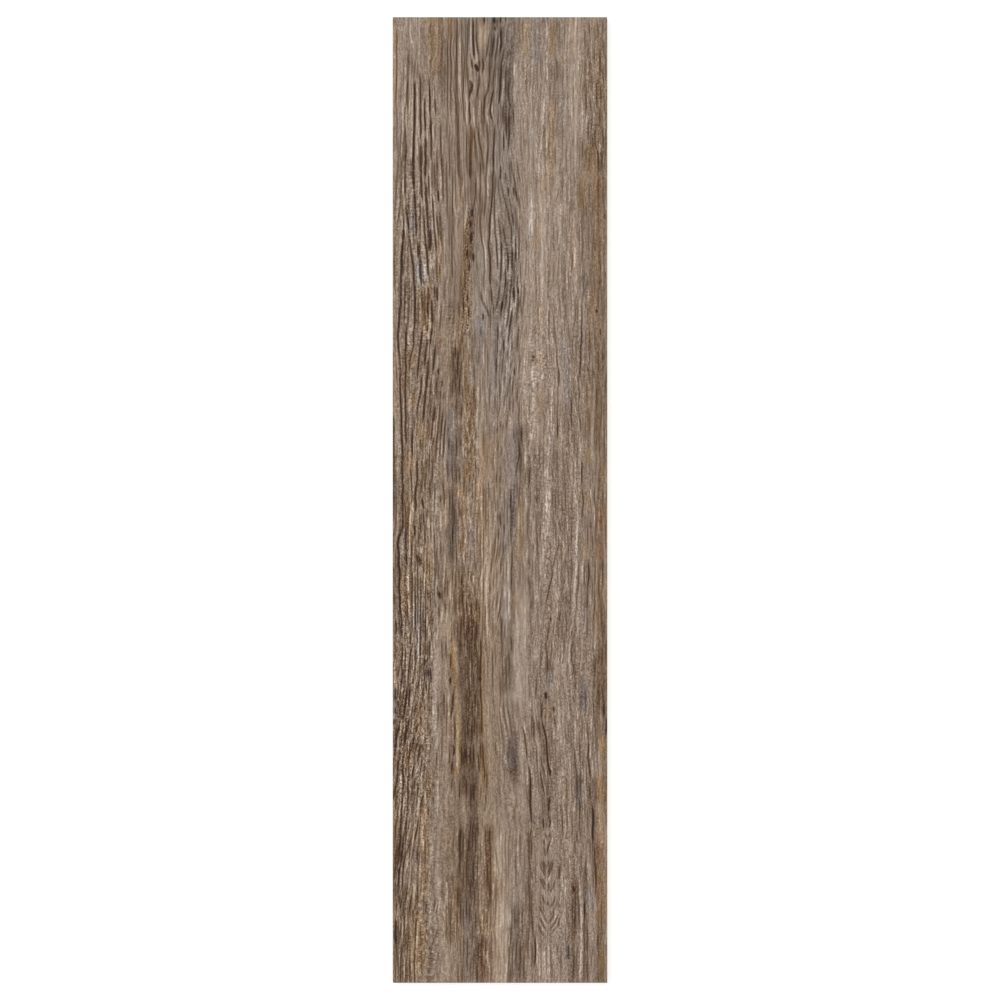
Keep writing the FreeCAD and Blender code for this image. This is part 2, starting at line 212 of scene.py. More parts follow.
DARK_LINES = [
    (0.6, 396.2, 30, 396, 80, 396.4, 150), (0.9, 407.9, 52, 407.8, 64, 407.6, 80),
    (0.9, 414.6, 60, 414.6, 80), (0.7, 428.6, 76, 429, 90), (0.7, 434, 84, 434.4, 98),
    (0.9, 440, 124, 440.6, 150, 441.6, 176), (0.6, 450.6, 17, 450.4, 50, 450.2, 84),
    (0.6, 447.6, 40, 447.2, 80, 447.8, 120),
    (1, 456.9, 14, 456.6, 46, 455.8, 70, 456.2, 100, 457.8, 150, 458.2, 178),
    (0.6, 452.2, 170, 452.4, 200, 451.6, 240, 452, 280),
    (1.1, 457, 17, 456.4, 40, 456.8, 60, 456, 84, 456.6, 100, 458, 120, 458.8, 150, 459.2, 180),
    (0.8, 461, 17, 461.8, 45, 462.6, 80, 463, 105, 464.4, 124),
    (1.1, 468.6, 17, 468, 34, 466.6, 52, 466.4, 62, 467.4, 74, 468.6, 90, 469, 104),
    (0.7, 476, 17, 476.2, 34, 477, 46, 478.6, 58), (1.1, 471.8, 58, 471.6, 64, 473, 70),
    (0.8, 478.6, 59, 479.4, 64, 478.8, 70),
    (0.9, 479.2, 72, 478.8, 84, 477, 94, 475.8, 104, 475.9, 116, 476.8, 127, 478.8, 139, 481.2, 150,
     482.6, 162, 483, 176), (0.7, 490, 30, 488.6, 42, 486.4, 54, 485, 62),
    (1, 491.4, 27, 491.4, 40, 490.2, 54, 489.8, 66, 489.2, 80, 487.6, 91, 485, 98, 484, 108, 483.6, 118,
     484, 128), (0.8, 494, 34, 493.2, 46, 491.6, 56, 490.8, 62),
    (0.9, 497.7, 34, 497.2, 45, 495.6, 53, 494.6, 62), (0.9, 504, 48, 502.6, 56, 501.6, 64),
    (0.8, 494.4, 66, 493.8, 76, 493.2, 88),
    (0.9, 486.8, 120, 487.6, 134, 488.2, 146, 487.4, 156, 486.4, 170),
    (0.8, 503.8, 102, 503, 112, 503.2, 126), (0.8, 509.8, 106, 509, 118, 508.8, 130),
    (0.7, 513, 108, 514, 126), (1.3, 470.6, 122, 471.4, 138, 470.6, 152, 470, 172),
    (0.6, 465.6, 17, 465.4, 34, 464.6, 60, 465.2, 84), (0.7, 497.6, 106, 498.4, 116, 497.4, 128),
    (0.7, 506, 66, 505.4, 80, 506, 96), (0.6, 509.6, 78, 508.6, 92, 509.2, 104),
    (0.8, 489.4, 62, 490.6, 69), (0.7, 481, 98, 481.6, 112, 482.6, 126, 484.4, 140),
    (0.6, 466, 118, 467, 132, 466.6, 150, 466.8, 172),
    (0.6, 473.6, 128, 475.4, 144, 477.6, 160, 478.4, 176), (0.6, 498.8, 126, 499.6, 142, 500, 160),
    (0.7, 505.8, 112, 506.6, 126, 506.4, 140), (0.5, 455, 168, 455.6, 204), (1.4, 470.2, 158, 470.2, 180),
    (0.6, 476.2, 178, 475, 195, 473.4, 210),
    (0.8, 480, 158, 480.3, 180, 479.6, 200, 480, 216, 480.3, 230, 481.6, 240, 483.1, 248, 484, 257,
     484.1, 270, 483.8, 285, 484.6, 294), (0.9, 486, 158, 486.4, 175, 485.8, 190, 485.1, 206, 484, 220),
    (0.5, 482.6, 192, 482, 216), (0.8, 493.5, 156, 493.2, 170), (0.8, 495.7, 172, 495.2, 188, 494.8, 200),
    (0.7, 501, 180, 502.6, 191, 505, 200, 507.1, 209, 509, 217, 510.6, 225),
    (0.9, 498.2, 214, 499.5, 226, 500.7, 240), (0.9, 500.2, 283, 498.9, 294, 497.2, 303, 495, 312),
    (0.8, 502.8, 224, 505.4, 239, 507.4, 250), (1.05, 504.8, 288, 503.2, 299, 501.4, 310, 500.4, 322),
    (0.8, 508.8, 195, 510.7, 206, 512.3, 216), (0.7, 496.9, 272, 496.4, 288),
    (0.8, 510.5, 220, 511.3, 232, 511.6, 247),
    (0.95, 512.1, 272, 511.5, 284, 510.2, 297, 508.9, 307, 507.4, 318, 505.8, 330),
    (0.8, 511, 156, 512.2, 170, 514, 178, 515.4, 187, 517.1, 197, 519.2, 208),
    (0.8, 519.6, 222, 519.3, 244, 519, 264),
    (0.95, 517.9, 274, 517.5, 288, 518.4, 300, 517.3, 312, 516.2, 324),
    (0.95, 508.3, 276, 507.1, 290, 505.4, 303, 503.8, 316),
    (1.1, 480.2, 290, 481.6, 300, 484.8, 306, 487.6, 312, 489.2, 320),
    (0.5, 491, 303, 490.5, 316, 490.7, 330), (0.7, 493.1, 304, 493.4, 316), (0.6, 460.6, 160, 460.2, 200),
    (0.6, 464.6, 268, 465, 290), (0.8, 461.6, 286, 463, 300, 463.8, 314), (0.7, 458.4, 300, 459.4, 318),
    (0.6, 505.8, 200, 507.8, 212, 509.6, 228), (0.6, 514.6, 204, 515.8, 218, 516.6, 234),
    (0.6, 513.8, 262, 514.2, 276, 513.8, 288), (0.6, 508.6, 160, 509.4, 172, 511, 184),
    (0.6, 498.4, 176, 499, 192, 501, 206), (0.5, 488, 196, 487.2, 212, 486.6, 230),
    (0.7, 516.8, 158, 518, 172, 520, 184),
    (0.7, 397.4, 158, 397, 173, 396, 184, 395.4, 194, 394.8, 203, 393.8, 215),
    (0.8, 400.6, 156, 400.6, 180, 400.2, 196, 399.7, 206, 398.4, 216, 396.4, 226),
    (0.7, 403.2, 206, 403.5, 219, 402.8, 230),
    (1.1, 422.5, 203, 423, 215, 423.9, 226, 424.7, 236, 425.8, 247, 427, 262, 427.6, 278),
    (0.9, 428.6, 174, 428.4, 188, 428.9, 200), (1, 431.3, 158, 431.7, 176, 432.2, 192),
    (1, 436.5, 156, 436.6, 175, 437.2, 188, 438.2, 202), (0.8, 436.6, 212, 437.2, 227, 437.9, 241),
    (1, 439.6, 212, 440.2, 225, 440.8, 237, 442.2, 250), (0.8, 442.6, 158, 442.6, 180, 443.6, 204),
    (0.8, 408.4, 274, 408.8, 288, 409, 298, 408.4, 309, 407.7, 319, 406.7, 332),
    (0.6, 407, 256, 407.3, 272), (0.9, 434.7, 284, 434.5, 298), (1, 421, 286, 421.5, 300, 422, 314),
    (0.7, 444.3, 276, 443.9, 302), (0.8, 440.8, 250, 440.2, 262, 439.1, 277),
    (0.8, 436.9, 254, 436.7, 270, 436.9, 284), (1, 419.4, 242, 419.7, 257), (0.6, 410.2, 158, 410, 178),
    (0.6, 408, 190, 408.6, 206, 410.2, 222), (0.8, 419, 200, 419.6, 216, 420.6, 232),
    (0.6, 446.4, 158, 446.4, 190, 447.4, 220), (0.7, 434.2, 160, 434.6, 190),
    (0.6, 448.6, 210, 449.4, 250), (0.6, 394.4, 240, 394, 262, 394.2, 290),
    (0.6, 404.6, 278, 404.4, 300, 403.4, 324), (0.6, 417.6, 296, 418, 314, 417.6, 332),
    (0.8, 424.6, 290, 424.8, 312, 425.6, 330), (0.8, 441, 300, 440.4, 316, 439.6, 332),
    (0.6, 411.6, 284, 411.4, 306, 410.8, 328), (1.6, 404.2, 234, 403.6, 254, 402.6, 276),
    (1, 422.8, 371, 421.6, 381, 420.3, 390, 418.6, 398, 416.9, 407, 415.6, 418),
    (1, 431, 378, 430.7, 392, 430, 407, 428.6, 421, 428.4, 432, 427.2, 442),
    (1, 437, 377, 435.6, 390, 435.9, 399), (0.9, 432.9, 422, 431.4, 433, 430.8, 442),
    (0.9, 442, 379, 441.6, 387), (0.9, 440.4, 389, 440.2, 398), (0.9, 443.6, 392, 443.4, 400),
    (0.8, 439.9, 399, 439.3, 413, 438, 427, 436.8, 440, 435.8, 452, 434.7, 463),
    (0.8, 443, 409, 441.6, 424, 440.5, 440, 439, 457),
    (0.8, 446, 417, 444.8, 430, 443.4, 445, 442.4, 462), (0.9, 420, 438, 420.6, 452),
    (1, 422.2, 460, 422.8, 484), (1, 426.8, 458, 425.9, 469), (0.9, 425.3, 469, 425, 484),
    (0.8, 410.4, 468, 411, 485), (0.7, 414.6, 418, 413.6, 431), (1.2, 393.2, 414, 393.4, 450, 393.2, 487),
    (0.6, 408.6, 376, 408.8, 398), (0.5, 402.6, 352, 402.4, 372), (0.7, 429.4, 448, 428.6, 476),
    (0.7, 432.6, 456, 432, 484), (0.5, 396, 360, 396.4, 384), (1, 420.3, 480, 420.8, 488, 420.5, 495),
    (0.9, 424.5, 480, 425, 491), (1, 430, 478, 429.5, 490, 430.2, 499), (0.9, 427.6, 508, 426.4, 518),
    (0.8, 421.6, 510, 420.6, 522, 420.6, 532), (0.8, 423.4, 512, 423, 526),
    (0.7, 434.8, 480, 434.4, 500, 433.6, 516), (0.9, 440.6, 494, 440.8, 504), (0.8, 442.6, 480, 443, 494),
    (0.8, 444.2, 489, 443.8, 508), (0.8, 411, 480, 411.6, 496, 410.8, 508), (0.7, 407.6, 520, 407.9, 533),
    (0.5, 409, 500, 408.8, 517), (0.5, 417.8, 520, 418.2, 545), (0.8, 425, 520, 424.4, 545),
    (0.8, 430.4, 524, 430.8, 542), (0.7, 434, 530, 434.6, 560, 434.2, 600), (0.7, 436.6, 545, 436.2, 577),
    (0.7, 438.4, 560, 438.2, 582), (0.8, 440.2, 540, 440.2, 556), (0.7, 443, 545, 443.2, 566),
    (0.8, 445.4, 566, 445.2, 588), (0.9, 445, 575, 444.6, 596), (0.7, 393.6, 592, 394.2, 606),
    (0.6, 397.4, 608, 398.6, 618), (0.7, 398.6, 620, 398.2, 634), (0.9, 434.4, 600, 435.6, 609),
    (0.9, 436.8, 584, 437.4, 598), (0.8, 441.8, 590, 442.4, 606), (0.9, 444.6, 600, 445.6, 614),
    (0.8, 438.4, 606, 439, 618), (0.8, 433.2, 616, 432.4, 628), (0.8, 436.4, 622, 435.6, 634),
    (0.5, 396, 500, 395.4, 530), (0.7, 393.4, 487, 393.2, 520), (0.5, 394.8, 548, 395.2, 590),
    (0.5, 401.6, 556, 402, 574), (0.7, 394.4, 640, 395.4, 650, 394.6, 660), (0.7, 398, 650, 397, 662),
    (0.9, 423, 690, 422.6, 704), (0.9, 428.6, 690, 428.4, 704), (0.7, 413.8, 697, 413, 704),
    (0.6, 403.6, 686, 402.8, 700, 401, 712), (0.6, 405.6, 700, 404.6, 712, 402.9, 722),
    (0.7, 400.4, 690, 399.2, 702), (0.7, 399.4, 706, 398.6, 718), (0.7, 412, 706, 411, 716, 409.4, 724),
    (0.6, 414.4, 720, 413, 732, 411.6, 742), (0.6, 402.6, 726, 401, 740, 400.4, 748),
    (0.6, 396.6, 722, 395.2, 734, 394, 743), (0.6, 412, 718, 410.4, 730, 409.2, 740),
    (0.6, 404.4, 734, 403, 746), (0.6, 415.8, 740, 414.6, 752, 412.6, 764), (0.6, 409.6, 728, 408.4, 738),
    (0.9, 424.4, 704, 424.2, 712), (0.9, 427.2, 718, 427.6, 732), (0.7, 425, 736, 424.4, 745),
    (0.7, 426, 748, 425.6, 757), (0.8, 421, 716, 420.4, 726), (0.8, 428.8, 704, 429, 716),
    (0.7, 430.4, 744, 429.6, 750), (0.8, 429.4, 728, 430.4, 736), (0.7, 407.4, 744, 406.4, 756),
    (0.6, 403, 752, 401.8, 762), (0.6, 409.4, 760, 408.4, 772), (0.6, 406, 766, 404.6, 778),
    (0.7, 421.6, 756, 420.4, 768, 418.8, 778), (0.6, 424, 762, 423.4, 780), (0.5, 426.4, 768, 425.6, 790),
    (0.6, 412, 782, 411, 795), (0.6, 405.2, 784, 404.4, 797), (0.7, 399.4, 768, 398.6, 780),
    (0.6, 417.6, 782, 416.4, 797), (0.8, 445.6, 640, 446.2, 660), (0.7, 441.4, 640, 442, 662),
    (0.5, 446.8, 700, 446.4, 740), (0.7, 444, 690, 444.4, 720), (0.5, 442, 730, 441.4, 762),
    (0.6, 454.6, 720, 454.8, 742), (0.6, 448.8, 740, 449.2, 764), (0.6, 452.4, 776, 451.4, 792),
    (0.7, 438, 700, 437.6, 728), (0.6, 436.4, 750, 436, 768), (0.8, 420, 700, 419.2, 714),
    (0.6, 418, 710, 417, 720), (0.6, 396.4, 664, 396, 680), (0.6, 399, 664, 398.2, 678),
    (0.7, 399.4, 794, 398.5, 806, 396.9, 819, 395.3, 830, 394.8, 842),
    (0.8, 402.5, 793, 401.3, 805, 400.6, 816, 399.8, 824, 398.8, 836, 396.9, 846, 395, 856, 394, 864),
    (0.7, 405, 799, 403.8, 811, 402.5, 820, 401.3, 832, 399.8, 842, 397.5, 852, 395.6, 861, 395, 876),
    (0.9, 406.3, 817, 405, 827, 403.8, 835, 402.5, 845, 401.4, 856, 399.4, 868, 398.1, 879, 397.3, 887,
     396.9, 897), (0.8, 409.4, 816, 408.1, 828, 406.3, 836, 405, 843),
    (0.8, 410, 837, 408.8, 846, 405.6, 854, 403.8, 862, 402.5, 874, 401.3, 886, 399.4, 897, 398.8, 908),
    (0.8, 406.3, 866, 405.6, 874, 404.4, 884, 403.1, 892, 402.5, 902, 402.4, 911, 401.3, 921),
    (0.8, 409.4, 867, 408.1, 879, 406.9, 889, 405.6, 899, 404.8, 906, 404.4, 914, 403.8, 924, 403.1,
     934, 402.5, 950, 402.2, 966, 402, 983), (0.7, 414.4, 843, 412.5, 853, 411.3, 862, 410, 873),
    (0.8, 398.8, 921, 398.1, 929, 398.8, 939, 398.1, 948), (0.7, 420.6, 790, 420, 803, 419, 815),
    (0.7, 416.9, 846, 416.3, 862), (0.7, 420.3, 846, 419.4, 856, 418, 868),
    (0.9, 415.6, 892, 415, 903, 414.4, 912), (0.9, 411.3, 893, 410.3, 902, 408.8, 911, 408.1, 921),
    (0.7, 401.3, 911, 400.3, 919, 399.8, 928, 399.4, 938),
    (0.8, 408.8, 921, 408.5, 930, 407.8, 943, 407, 952), (0.6, 421.9, 838, 421.3, 856, 421.9, 872),
    (0.7, 423, 803, 422.5, 816), (0.7, 426.9, 788, 426.5, 800), (0.7, 430, 788, 430.2, 796),
    (0.7, 433.5, 797, 433.8, 806), (0.7, 396.6, 790, 395.6, 800, 394.6, 812),
    (0.6, 408.4, 790, 407.2, 802, 406, 812), (0.6, 411.2, 792, 410, 806),
    (0.6, 414.6, 790, 413.8, 804, 413, 814), (0.6, 413.4, 818, 412, 832, 410.6, 844),
    (0.6, 411.4, 838, 409.8, 850, 408.4, 860), (0.6, 404, 840, 403.2, 852, 402.4, 862),
    (0.6, 400, 842, 398.4, 856, 396.6, 868), (0.6, 395.4, 880, 394.8, 900), (0.7, 394.6, 866, 393.8, 880),
    (0.6, 412, 862, 411, 876, 409.8, 890), (0.5, 418.4, 872, 417.6, 890, 417, 904),
    (0.5, 420.6, 876, 420.4, 896), (0.6, 400.6, 898, 399.8, 910), (0.6, 404.8, 884, 403.8, 896),
    (0.6, 395.8, 898, 395.4, 912), (0.6, 413, 908, 412, 920), (0.6, 428.6, 806, 428.2, 818),
    (0.5, 424.8, 840, 424.6, 868), (0.5, 427.8, 868, 427.6, 884), (0.6, 431.6, 826, 429.4, 838),
    (0.6, 435, 898, 433, 912), (0.6, 438, 902, 436.2, 914), (0.5, 423.4, 896, 423, 920),
    (0.6, 425.8, 902, 425.4, 914), (0.5, 420, 925, 420.2, 945), (0.5, 415.2, 920, 414.8, 945),
    (0.6, 424, 936, 425.6, 942), (0.6, 427.4, 930, 429.2, 937), (0.6, 431, 926, 433, 934),
    (0.6, 428, 944, 430.2, 951), (0.6, 433.4, 940, 431.4, 947), (0.6, 436.6, 930, 435, 938),
    (0.7, 396.6, 932, 396.4, 950, 396.8, 966), (0.6, 405.6, 930, 405, 948),
    (0.6, 400.6, 945, 400.2, 965, 400.4, 983), (0.6, 394.6, 950, 394.8, 983),
    (0.6, 398.4, 955, 398.2, 983), (0.6, 405.4, 960, 405.2, 983), (0.6, 409.4, 955, 409.2, 983),
    (0.5, 414, 950, 413.8, 983), (0.6, 421.6, 950, 421.2, 972), (0.5, 446, 900, 446.2, 940),
    (0.5, 450.2, 905, 450, 950), (0.4, 466.6, 630, 466.4, 652), (0.4, 469.2, 640, 469.4, 660),
    (0.4, 474.6, 634, 474.4, 652), (0.4, 476.8, 646, 476.6, 668), (0.4, 471.8, 652, 471.6, 674),
    (0.4, 467.4, 662, 467.6, 684), (0.4, 473.6, 672, 473.8, 690), (0.4, 478, 660, 477.8, 684),
    (0.4, 469.6, 682, 469.4, 706), (0.4, 466.2, 690, 466.4, 712), (0.7, 475.4, 692, 475.2, 706),
    (0.4, 477.6, 698, 477.8, 716), (0.4, 472.2, 700, 472, 716), (0.4, 467.8, 716, 467.6, 740),
    (0.7, 471.6, 724, 471.4, 744), (0.7, 474.4, 716, 474.6, 736), (0.4, 477, 722, 476.8, 745),
    (0.4, 465, 720, 465, 745), (0.5, 506, 660, 506.2, 690), (0.5, 501.6, 636, 501.4, 660),
    (0.5, 495, 640, 495.2, 668), (0.5, 509, 650, 509.2, 680), (0.5, 502.8, 700, 505, 718, 508, 734),
    (0.5, 498.6, 706, 500.4, 724, 503, 742), (0.5, 507.6, 706, 510.4, 724, 512.6, 738),
    (0.5, 500.6, 676, 500.8, 700), (0.5, 492.6, 650, 492.8, 690), (0.7, 463, 752, 463.2, 766),
    (0.8, 478.6, 754, 478.9, 773), (1, 474, 783, 473.5, 801), (0.7, 486, 793, 486.4, 804),
    (0.7, 466.4, 780, 465.8, 800), (0.6, 461.4, 744, 461.2, 770), (0.6, 466.6, 744, 466.4, 768),
    (0.6, 473.4, 744, 473.6, 764), (0.7, 480.4, 742, 480.9, 760), (0.6, 486.4, 770, 487, 792),
    (0.6, 481, 784, 480.6, 800), (0.6, 470.6, 784, 470.4, 812), (0.5, 500.6, 758, 503.4, 768, 505, 780),
    (0.5, 494.6, 740, 496.4, 756), (0.6, 507, 752, 509.4, 760), (0.5, 505, 762, 507.4, 768),
    (0.85, 511.2, 636, 511.9, 653), (0.68, 546.3, 640, 546.9, 654, 548, 665, 547.5, 674),
    (0.59, 551.3, 640, 551.9, 652, 550.3, 661, 551.5, 669, 552.5, 676),
    (0.68, 536.3, 676, 536.5, 686, 535.6, 692, 536.3, 701), (1.02, 542.5, 702, 541.9, 714, 542.3, 720),
    (0.85, 554.4, 715, 555.6, 728), (0.68, 539.4, 753, 541.3, 761, 543.8, 770, 546.3, 778),
    (0.68, 540, 768, 542.5, 784, 545, 796), (0.77, 541, 746, 541.8, 750),
    (0.68, 573.8, 695, 574.4, 701, 576, 706), (0.59, 572.5, 643, 571.9, 659, 573.8, 666, 572.5, 678),
    (0.59, 583, 715, 582.8, 729, 582.5, 741), (0.68, 586.3, 718, 588, 729, 588.8, 740),
    (0.68, 589.4, 784, 590, 792, 591.9, 801),
    (0.77, 574.4, 748, 575.6, 759, 576.3, 769, 577.5, 782, 577.5, 800),
    (0.59, 601.3, 683, 602.5, 692, 603, 698, 604.4, 706), (0.59, 549.6, 796, 549.8, 803),
    (0.3, 553, 744, 553.3, 760), (0.36, 530, 644, 530.8, 658), (0.3, 526.3, 640, 526.9, 658),
    (0.36, 564.6, 726, 566, 740, 566.4, 756), (0.36, 599.6, 698, 600.4, 712),
    (0.36, 593.6, 700, 594.4, 716), (0.36, 596.6, 655, 596, 675), (0.36, 602.6, 645, 602.4, 668),
    (0.59, 606.2, 640, 606.4, 664), (0.3, 587, 646, 586.4, 664), (0.36, 533.4, 660, 534.6, 672),
    (0.36, 540.4, 650, 540.6, 666), (0.3, 557.4, 648, 557.8, 664), (0.36, 561, 650, 560.6, 664),
    (0.36, 564.4, 640, 564.2, 656), (0.36, 561.4, 672, 561.2, 690), (0.36, 567.4, 664, 567.8, 680),
    (0.3, 557, 690, 557.4, 712), (0.36, 568.4, 720, 568.2, 742), (0.36, 571, 730, 571.2, 748),
    (0.36, 560.2, 742, 560.6, 768), (0.36, 556, 756, 556.2, 780), (0.36, 579.6, 736, 580, 760),
    (0.36, 584.4, 748, 584.2, 770), (0.36, 580.4, 770, 580.8, 792), (0.36, 586.2, 760, 586.6, 790),
    (0.36, 595.6, 716, 596.2, 736), (0.36, 592.4, 728, 592.8, 746), (0.36, 600.4, 720, 600.8, 742),
    (0.36, 598, 760, 599.6, 780), (0.3, 567, 780, 567.4, 800), (0.3, 572, 774, 572.4, 800),
    (0.36, 534.6, 722, 535, 738), (0.36, 531.4, 714, 532, 734), (0.59, 538, 720, 539, 734),
    (0.36, 529, 728, 530, 742), (0.36, 533, 744, 533.6, 760), (0.36, 536.8, 748, 537.4, 766),
    (0.36, 530.6, 748, 531.4, 764), (0.36, 534.6, 768, 535.2, 786), (0.36, 538.6, 776, 539.4, 796),
    (0.36, 524, 760, 524.6, 778), (0.3, 518.4, 724, 519.4, 742), (0.36, 525.8, 778, 526.4, 798),
    (0.36, 551.8, 728, 552, 748), (0.36, 549.6, 742, 550, 760), (0.3, 546, 780, 547.4, 796),
    (0.36, 585.6, 690, 586, 712), (0.36, 581.4, 696, 581.2, 712), (0.36, 544.4, 744, 545.4, 756),
    (0.75, 532, 825, 530, 838, 529.7, 848, 529.3, 859, 529.3, 871),
    (0.75, 530.7, 880, 530, 891, 530, 905, 531.4, 914, 532.1, 925, 533.2, 936),
    (0.52, 546.4, 820, 546.5, 828), (0.82, 550.7, 831, 548.6, 839), (0.82, 545, 832, 547, 840),
    (0.82, 544, 846, 545, 851, 545.8, 857), (0.82, 539, 861, 542, 870, 546.2, 878),
    (0.82, 541.4, 860, 546, 874), (0.82, 543.4, 860, 546.2, 869),
    (0.82, 553.6, 858, 551.4, 869, 547.6, 878), (0.82, 551.2, 860, 549.3, 870, 547, 874),
    (0.82, 549, 860, 547.4, 868), (0.82, 539.6, 876, 544, 888, 548.6, 892),
    (0.82, 555, 880, 552.9, 888, 550, 893), (0.82, 548.6, 882, 549, 891), (0.82, 542.6, 878, 546.4, 886),
    (0.82, 541.6, 894, 545, 902, 548, 906), (0.82, 540, 899, 544.3, 911, 548, 916),
    (0.82, 538.8, 905, 543.6, 915, 547.4, 920), (0.82, 555, 895, 553.6, 903, 549.3, 909),
    (0.82, 557.9, 898, 555.7, 908, 551.4, 914, 548.6, 917), (0.82, 547.6, 900, 548.8, 906),
    (0.82, 540, 917, 543.6, 926, 547, 932), (0.82, 538, 923, 541.4, 932, 545.7, 937, 548.6, 939),
    (0.82, 558.6, 913, 555.7, 922, 551.4, 928, 548.2, 931),
    (0.82, 560.4, 916, 557.9, 925, 552.9, 932, 549.3, 936), (0.82, 543.4, 916, 547.6, 924),
    (0.82, 554.4, 912, 551, 920, 548.6, 924),
    (0.75, 578.6, 796, 580, 805, 579.7, 816, 580, 825, 581.4, 840), (0.6, 577, 832, 577.4, 842),
    (0.52, 575.4, 840, 575.8, 856),
    (0.68, 595, 844, 595, 859, 596, 871, 596.4, 880, 595.8, 889, 595.7, 899),
    (0.52, 532.9, 943, 533.1, 967), (0.52, 528, 930, 528.6, 960),
    (0.52, 577.9, 880, 578.6, 899, 579.3, 914, 579.3, 936),
    (0.6, 583.6, 880, 584.3, 899, 585, 914, 584.3, 928, 584.7, 941, 584.3, 964, 584, 983),
    (0.52, 576.4, 878, 575.7, 899, 575.7, 914, 574.3, 930), (0.52, 572.6, 900, 572.9, 919, 572, 936),
    (0.6, 590, 884, 591.4, 898), (0.83, 568.6, 944, 569, 960), (0.45, 555.7, 941, 557.9, 954),
    (0.45, 598, 932, 598.4, 950), (0.82, 559, 865, 559.4, 880), (0.45, 564.6, 850, 565, 870),
    (0.45, 568.6, 860, 568.2, 880), (0.45, 563.4, 890, 563.6, 912), (0.45, 567.2, 900, 567, 925),
    (0.45, 582, 850, 581.8, 870), (0.45, 586, 856, 586.2, 880), (0.45, 590.6, 840, 590.4, 862),
    (0.45, 587.4, 925, 587.8, 955), (0.45, 592.6, 940, 592.2, 970), (0.45, 577.4, 945, 577.2, 980),
    (0.52, 574, 950, 573.6, 980), (0.45, 566, 925, 565.6, 945), (0.45, 561, 945, 561.4, 975),
    (0.38, 541.4, 950, 541.8, 980), (0.38, 546.4, 945, 546.6, 975), (0.38, 551, 950, 551.2, 980),
    (0.45, 588, 810, 588.4, 832), (0.45, 585.4, 800, 585.8, 822), (0.38, 557.4, 800, 557.8, 830),
    (0.38, 562.4, 805, 562.6, 835), (0.38, 567.4, 800, 567.2, 830), (0.38, 572.4, 810, 572.8, 840),
    (0.45, 540, 812, 540.4, 840), (0.38, 535.4, 850, 535.2, 890), (0.45, 587.6, 960, 587.8, 983),
    (0.45, 601.6, 900, 601.8, 930), (0.45, 604, 940, 604.4, 970),
    (0.88, 556.3, 56, 557.5, 68, 557.8, 78, 556.2, 83), (0.68, 596.3, 78, 596.9, 92, 596.9, 108),
    (0.6, 586.3, 80, 586.6, 96, 586.4, 112), (0.6, 600, 48, 600.2, 62, 600.4, 76),
    (0.6, 592.5, 73, 592.4, 92), (0.68, 596.3, 122, 595.6, 143, 598.6, 155, 598.5, 173),
    (0.52, 590.8, 98, 591.4, 112), (0.52, 592.4, 116, 591.6, 132), (0.52, 588.4, 120, 588.8, 140),
    (0.52, 584.4, 60, 584.8, 76), (0.52, 588.8, 46, 588, 58), (0.52, 594.6, 50, 595, 64),
    (0.52, 590.4, 60, 590, 70), (0.52, 604.2, 40, 604.6, 58), (0.52, 603.6, 66, 604, 84),
    (0.52, 601, 84, 601.4, 100), (0.52, 605, 96, 605.4, 116), (0.52, 600.2, 108, 600.6, 128),
    (0.52, 603.4, 126, 603.8, 146), (0.52, 582.6, 140, 583, 160), (0.52, 586.4, 146, 586.2, 165),
    (0.6, 592.6, 134, 593.4, 150), (0.52, 602.4, 150, 602.6, 172), (0.52, 606, 130, 606.2, 160),
    (0.52, 589.4, 22, 590, 36), (0.52, 597.6, 20, 598.6, 38), (0.52, 602.6, 18, 603, 34),
    (0.52, 605.8, 60, 606, 82), (0.45, 583, 84, 583.2, 104), (0.45, 585, 28, 585.4, 50),
    (0.3, 549, 62, 549.4, 76), (0.3, 552.2, 66, 552, 82), (0.3, 555, 70, 554.8, 88),
    (0.3, 550.4, 84, 550.2, 104), (0.3, 558.4, 90, 558, 106), (0.3, 555.8, 96, 555.6, 116),
    (0.3, 548.2, 110, 547.8, 130), (0.3, 553.6, 118, 553.4, 142), (0.3, 557.4, 120, 557.2, 140),
    (0.3, 548.4, 140, 548, 160), (0.45, 555.4, 146, 555.8, 168), (0.3, 560.4, 60, 560.8, 84),
    (0.3, 562.2, 72, 563, 88), (0.3, 551, 20, 551.4, 34), (0.3, 556.6, 17, 557, 30),
    (0.3, 553, 28, 552.8, 48), (0.3, 560, 22, 560.2, 52), (0.3, 564.4, 20, 564.6, 44),
    (0.3, 537.6, 60, 538, 90), (0.3, 534, 64, 534.4, 84), (0.3, 530.4, 66, 530.8, 88),
    (0.3, 526.4, 70, 526.8, 92), (0.3, 541, 56, 541.2, 78), (0.3, 533, 100, 533.4, 124),
    (0.3, 538.6, 100, 538.8, 124), (0.3, 527.6, 110, 527.8, 136), (0.3, 523.4, 132, 523.8, 156),
    (0.3, 529, 140, 529.2, 165), (0.3, 533.6, 150, 533.8, 172), (0.3, 562.8, 120, 563, 150),
    (0.3, 566.4, 140, 566.6, 172), (0.3, 571, 150, 571.4, 172), (0.45, 522.6, 20, 523, 46),
    (0.45, 559.4, 187, 558, 195, 556, 202), (0.64, 573, 252, 572.6, 262, 572.3, 272),
    (0.3, 581.8, 220, 582.2, 236, 582.6, 254, 583, 264, 581.6, 279, 579.6, 288),
    (0.3, 579.6, 226, 579.8, 246), (0.45, 584.4, 270, 585, 284), (0.45, 586, 284, 585.4, 298),
    (0.64, 605.4, 213, 605.8, 220), (0.45, 603.8, 244, 604, 251), (0.64, 605.6, 271, 605.8, 278),
    (0.3, 542.5, 295, 543.6, 302, 545, 309), (0.3, 550, 298, 553, 312, 554.4, 328),
    (0.3, 583, 196, 584.2, 210), (0.45, 586.6, 204, 587, 218), (0.3, 589.6, 186, 590, 200),
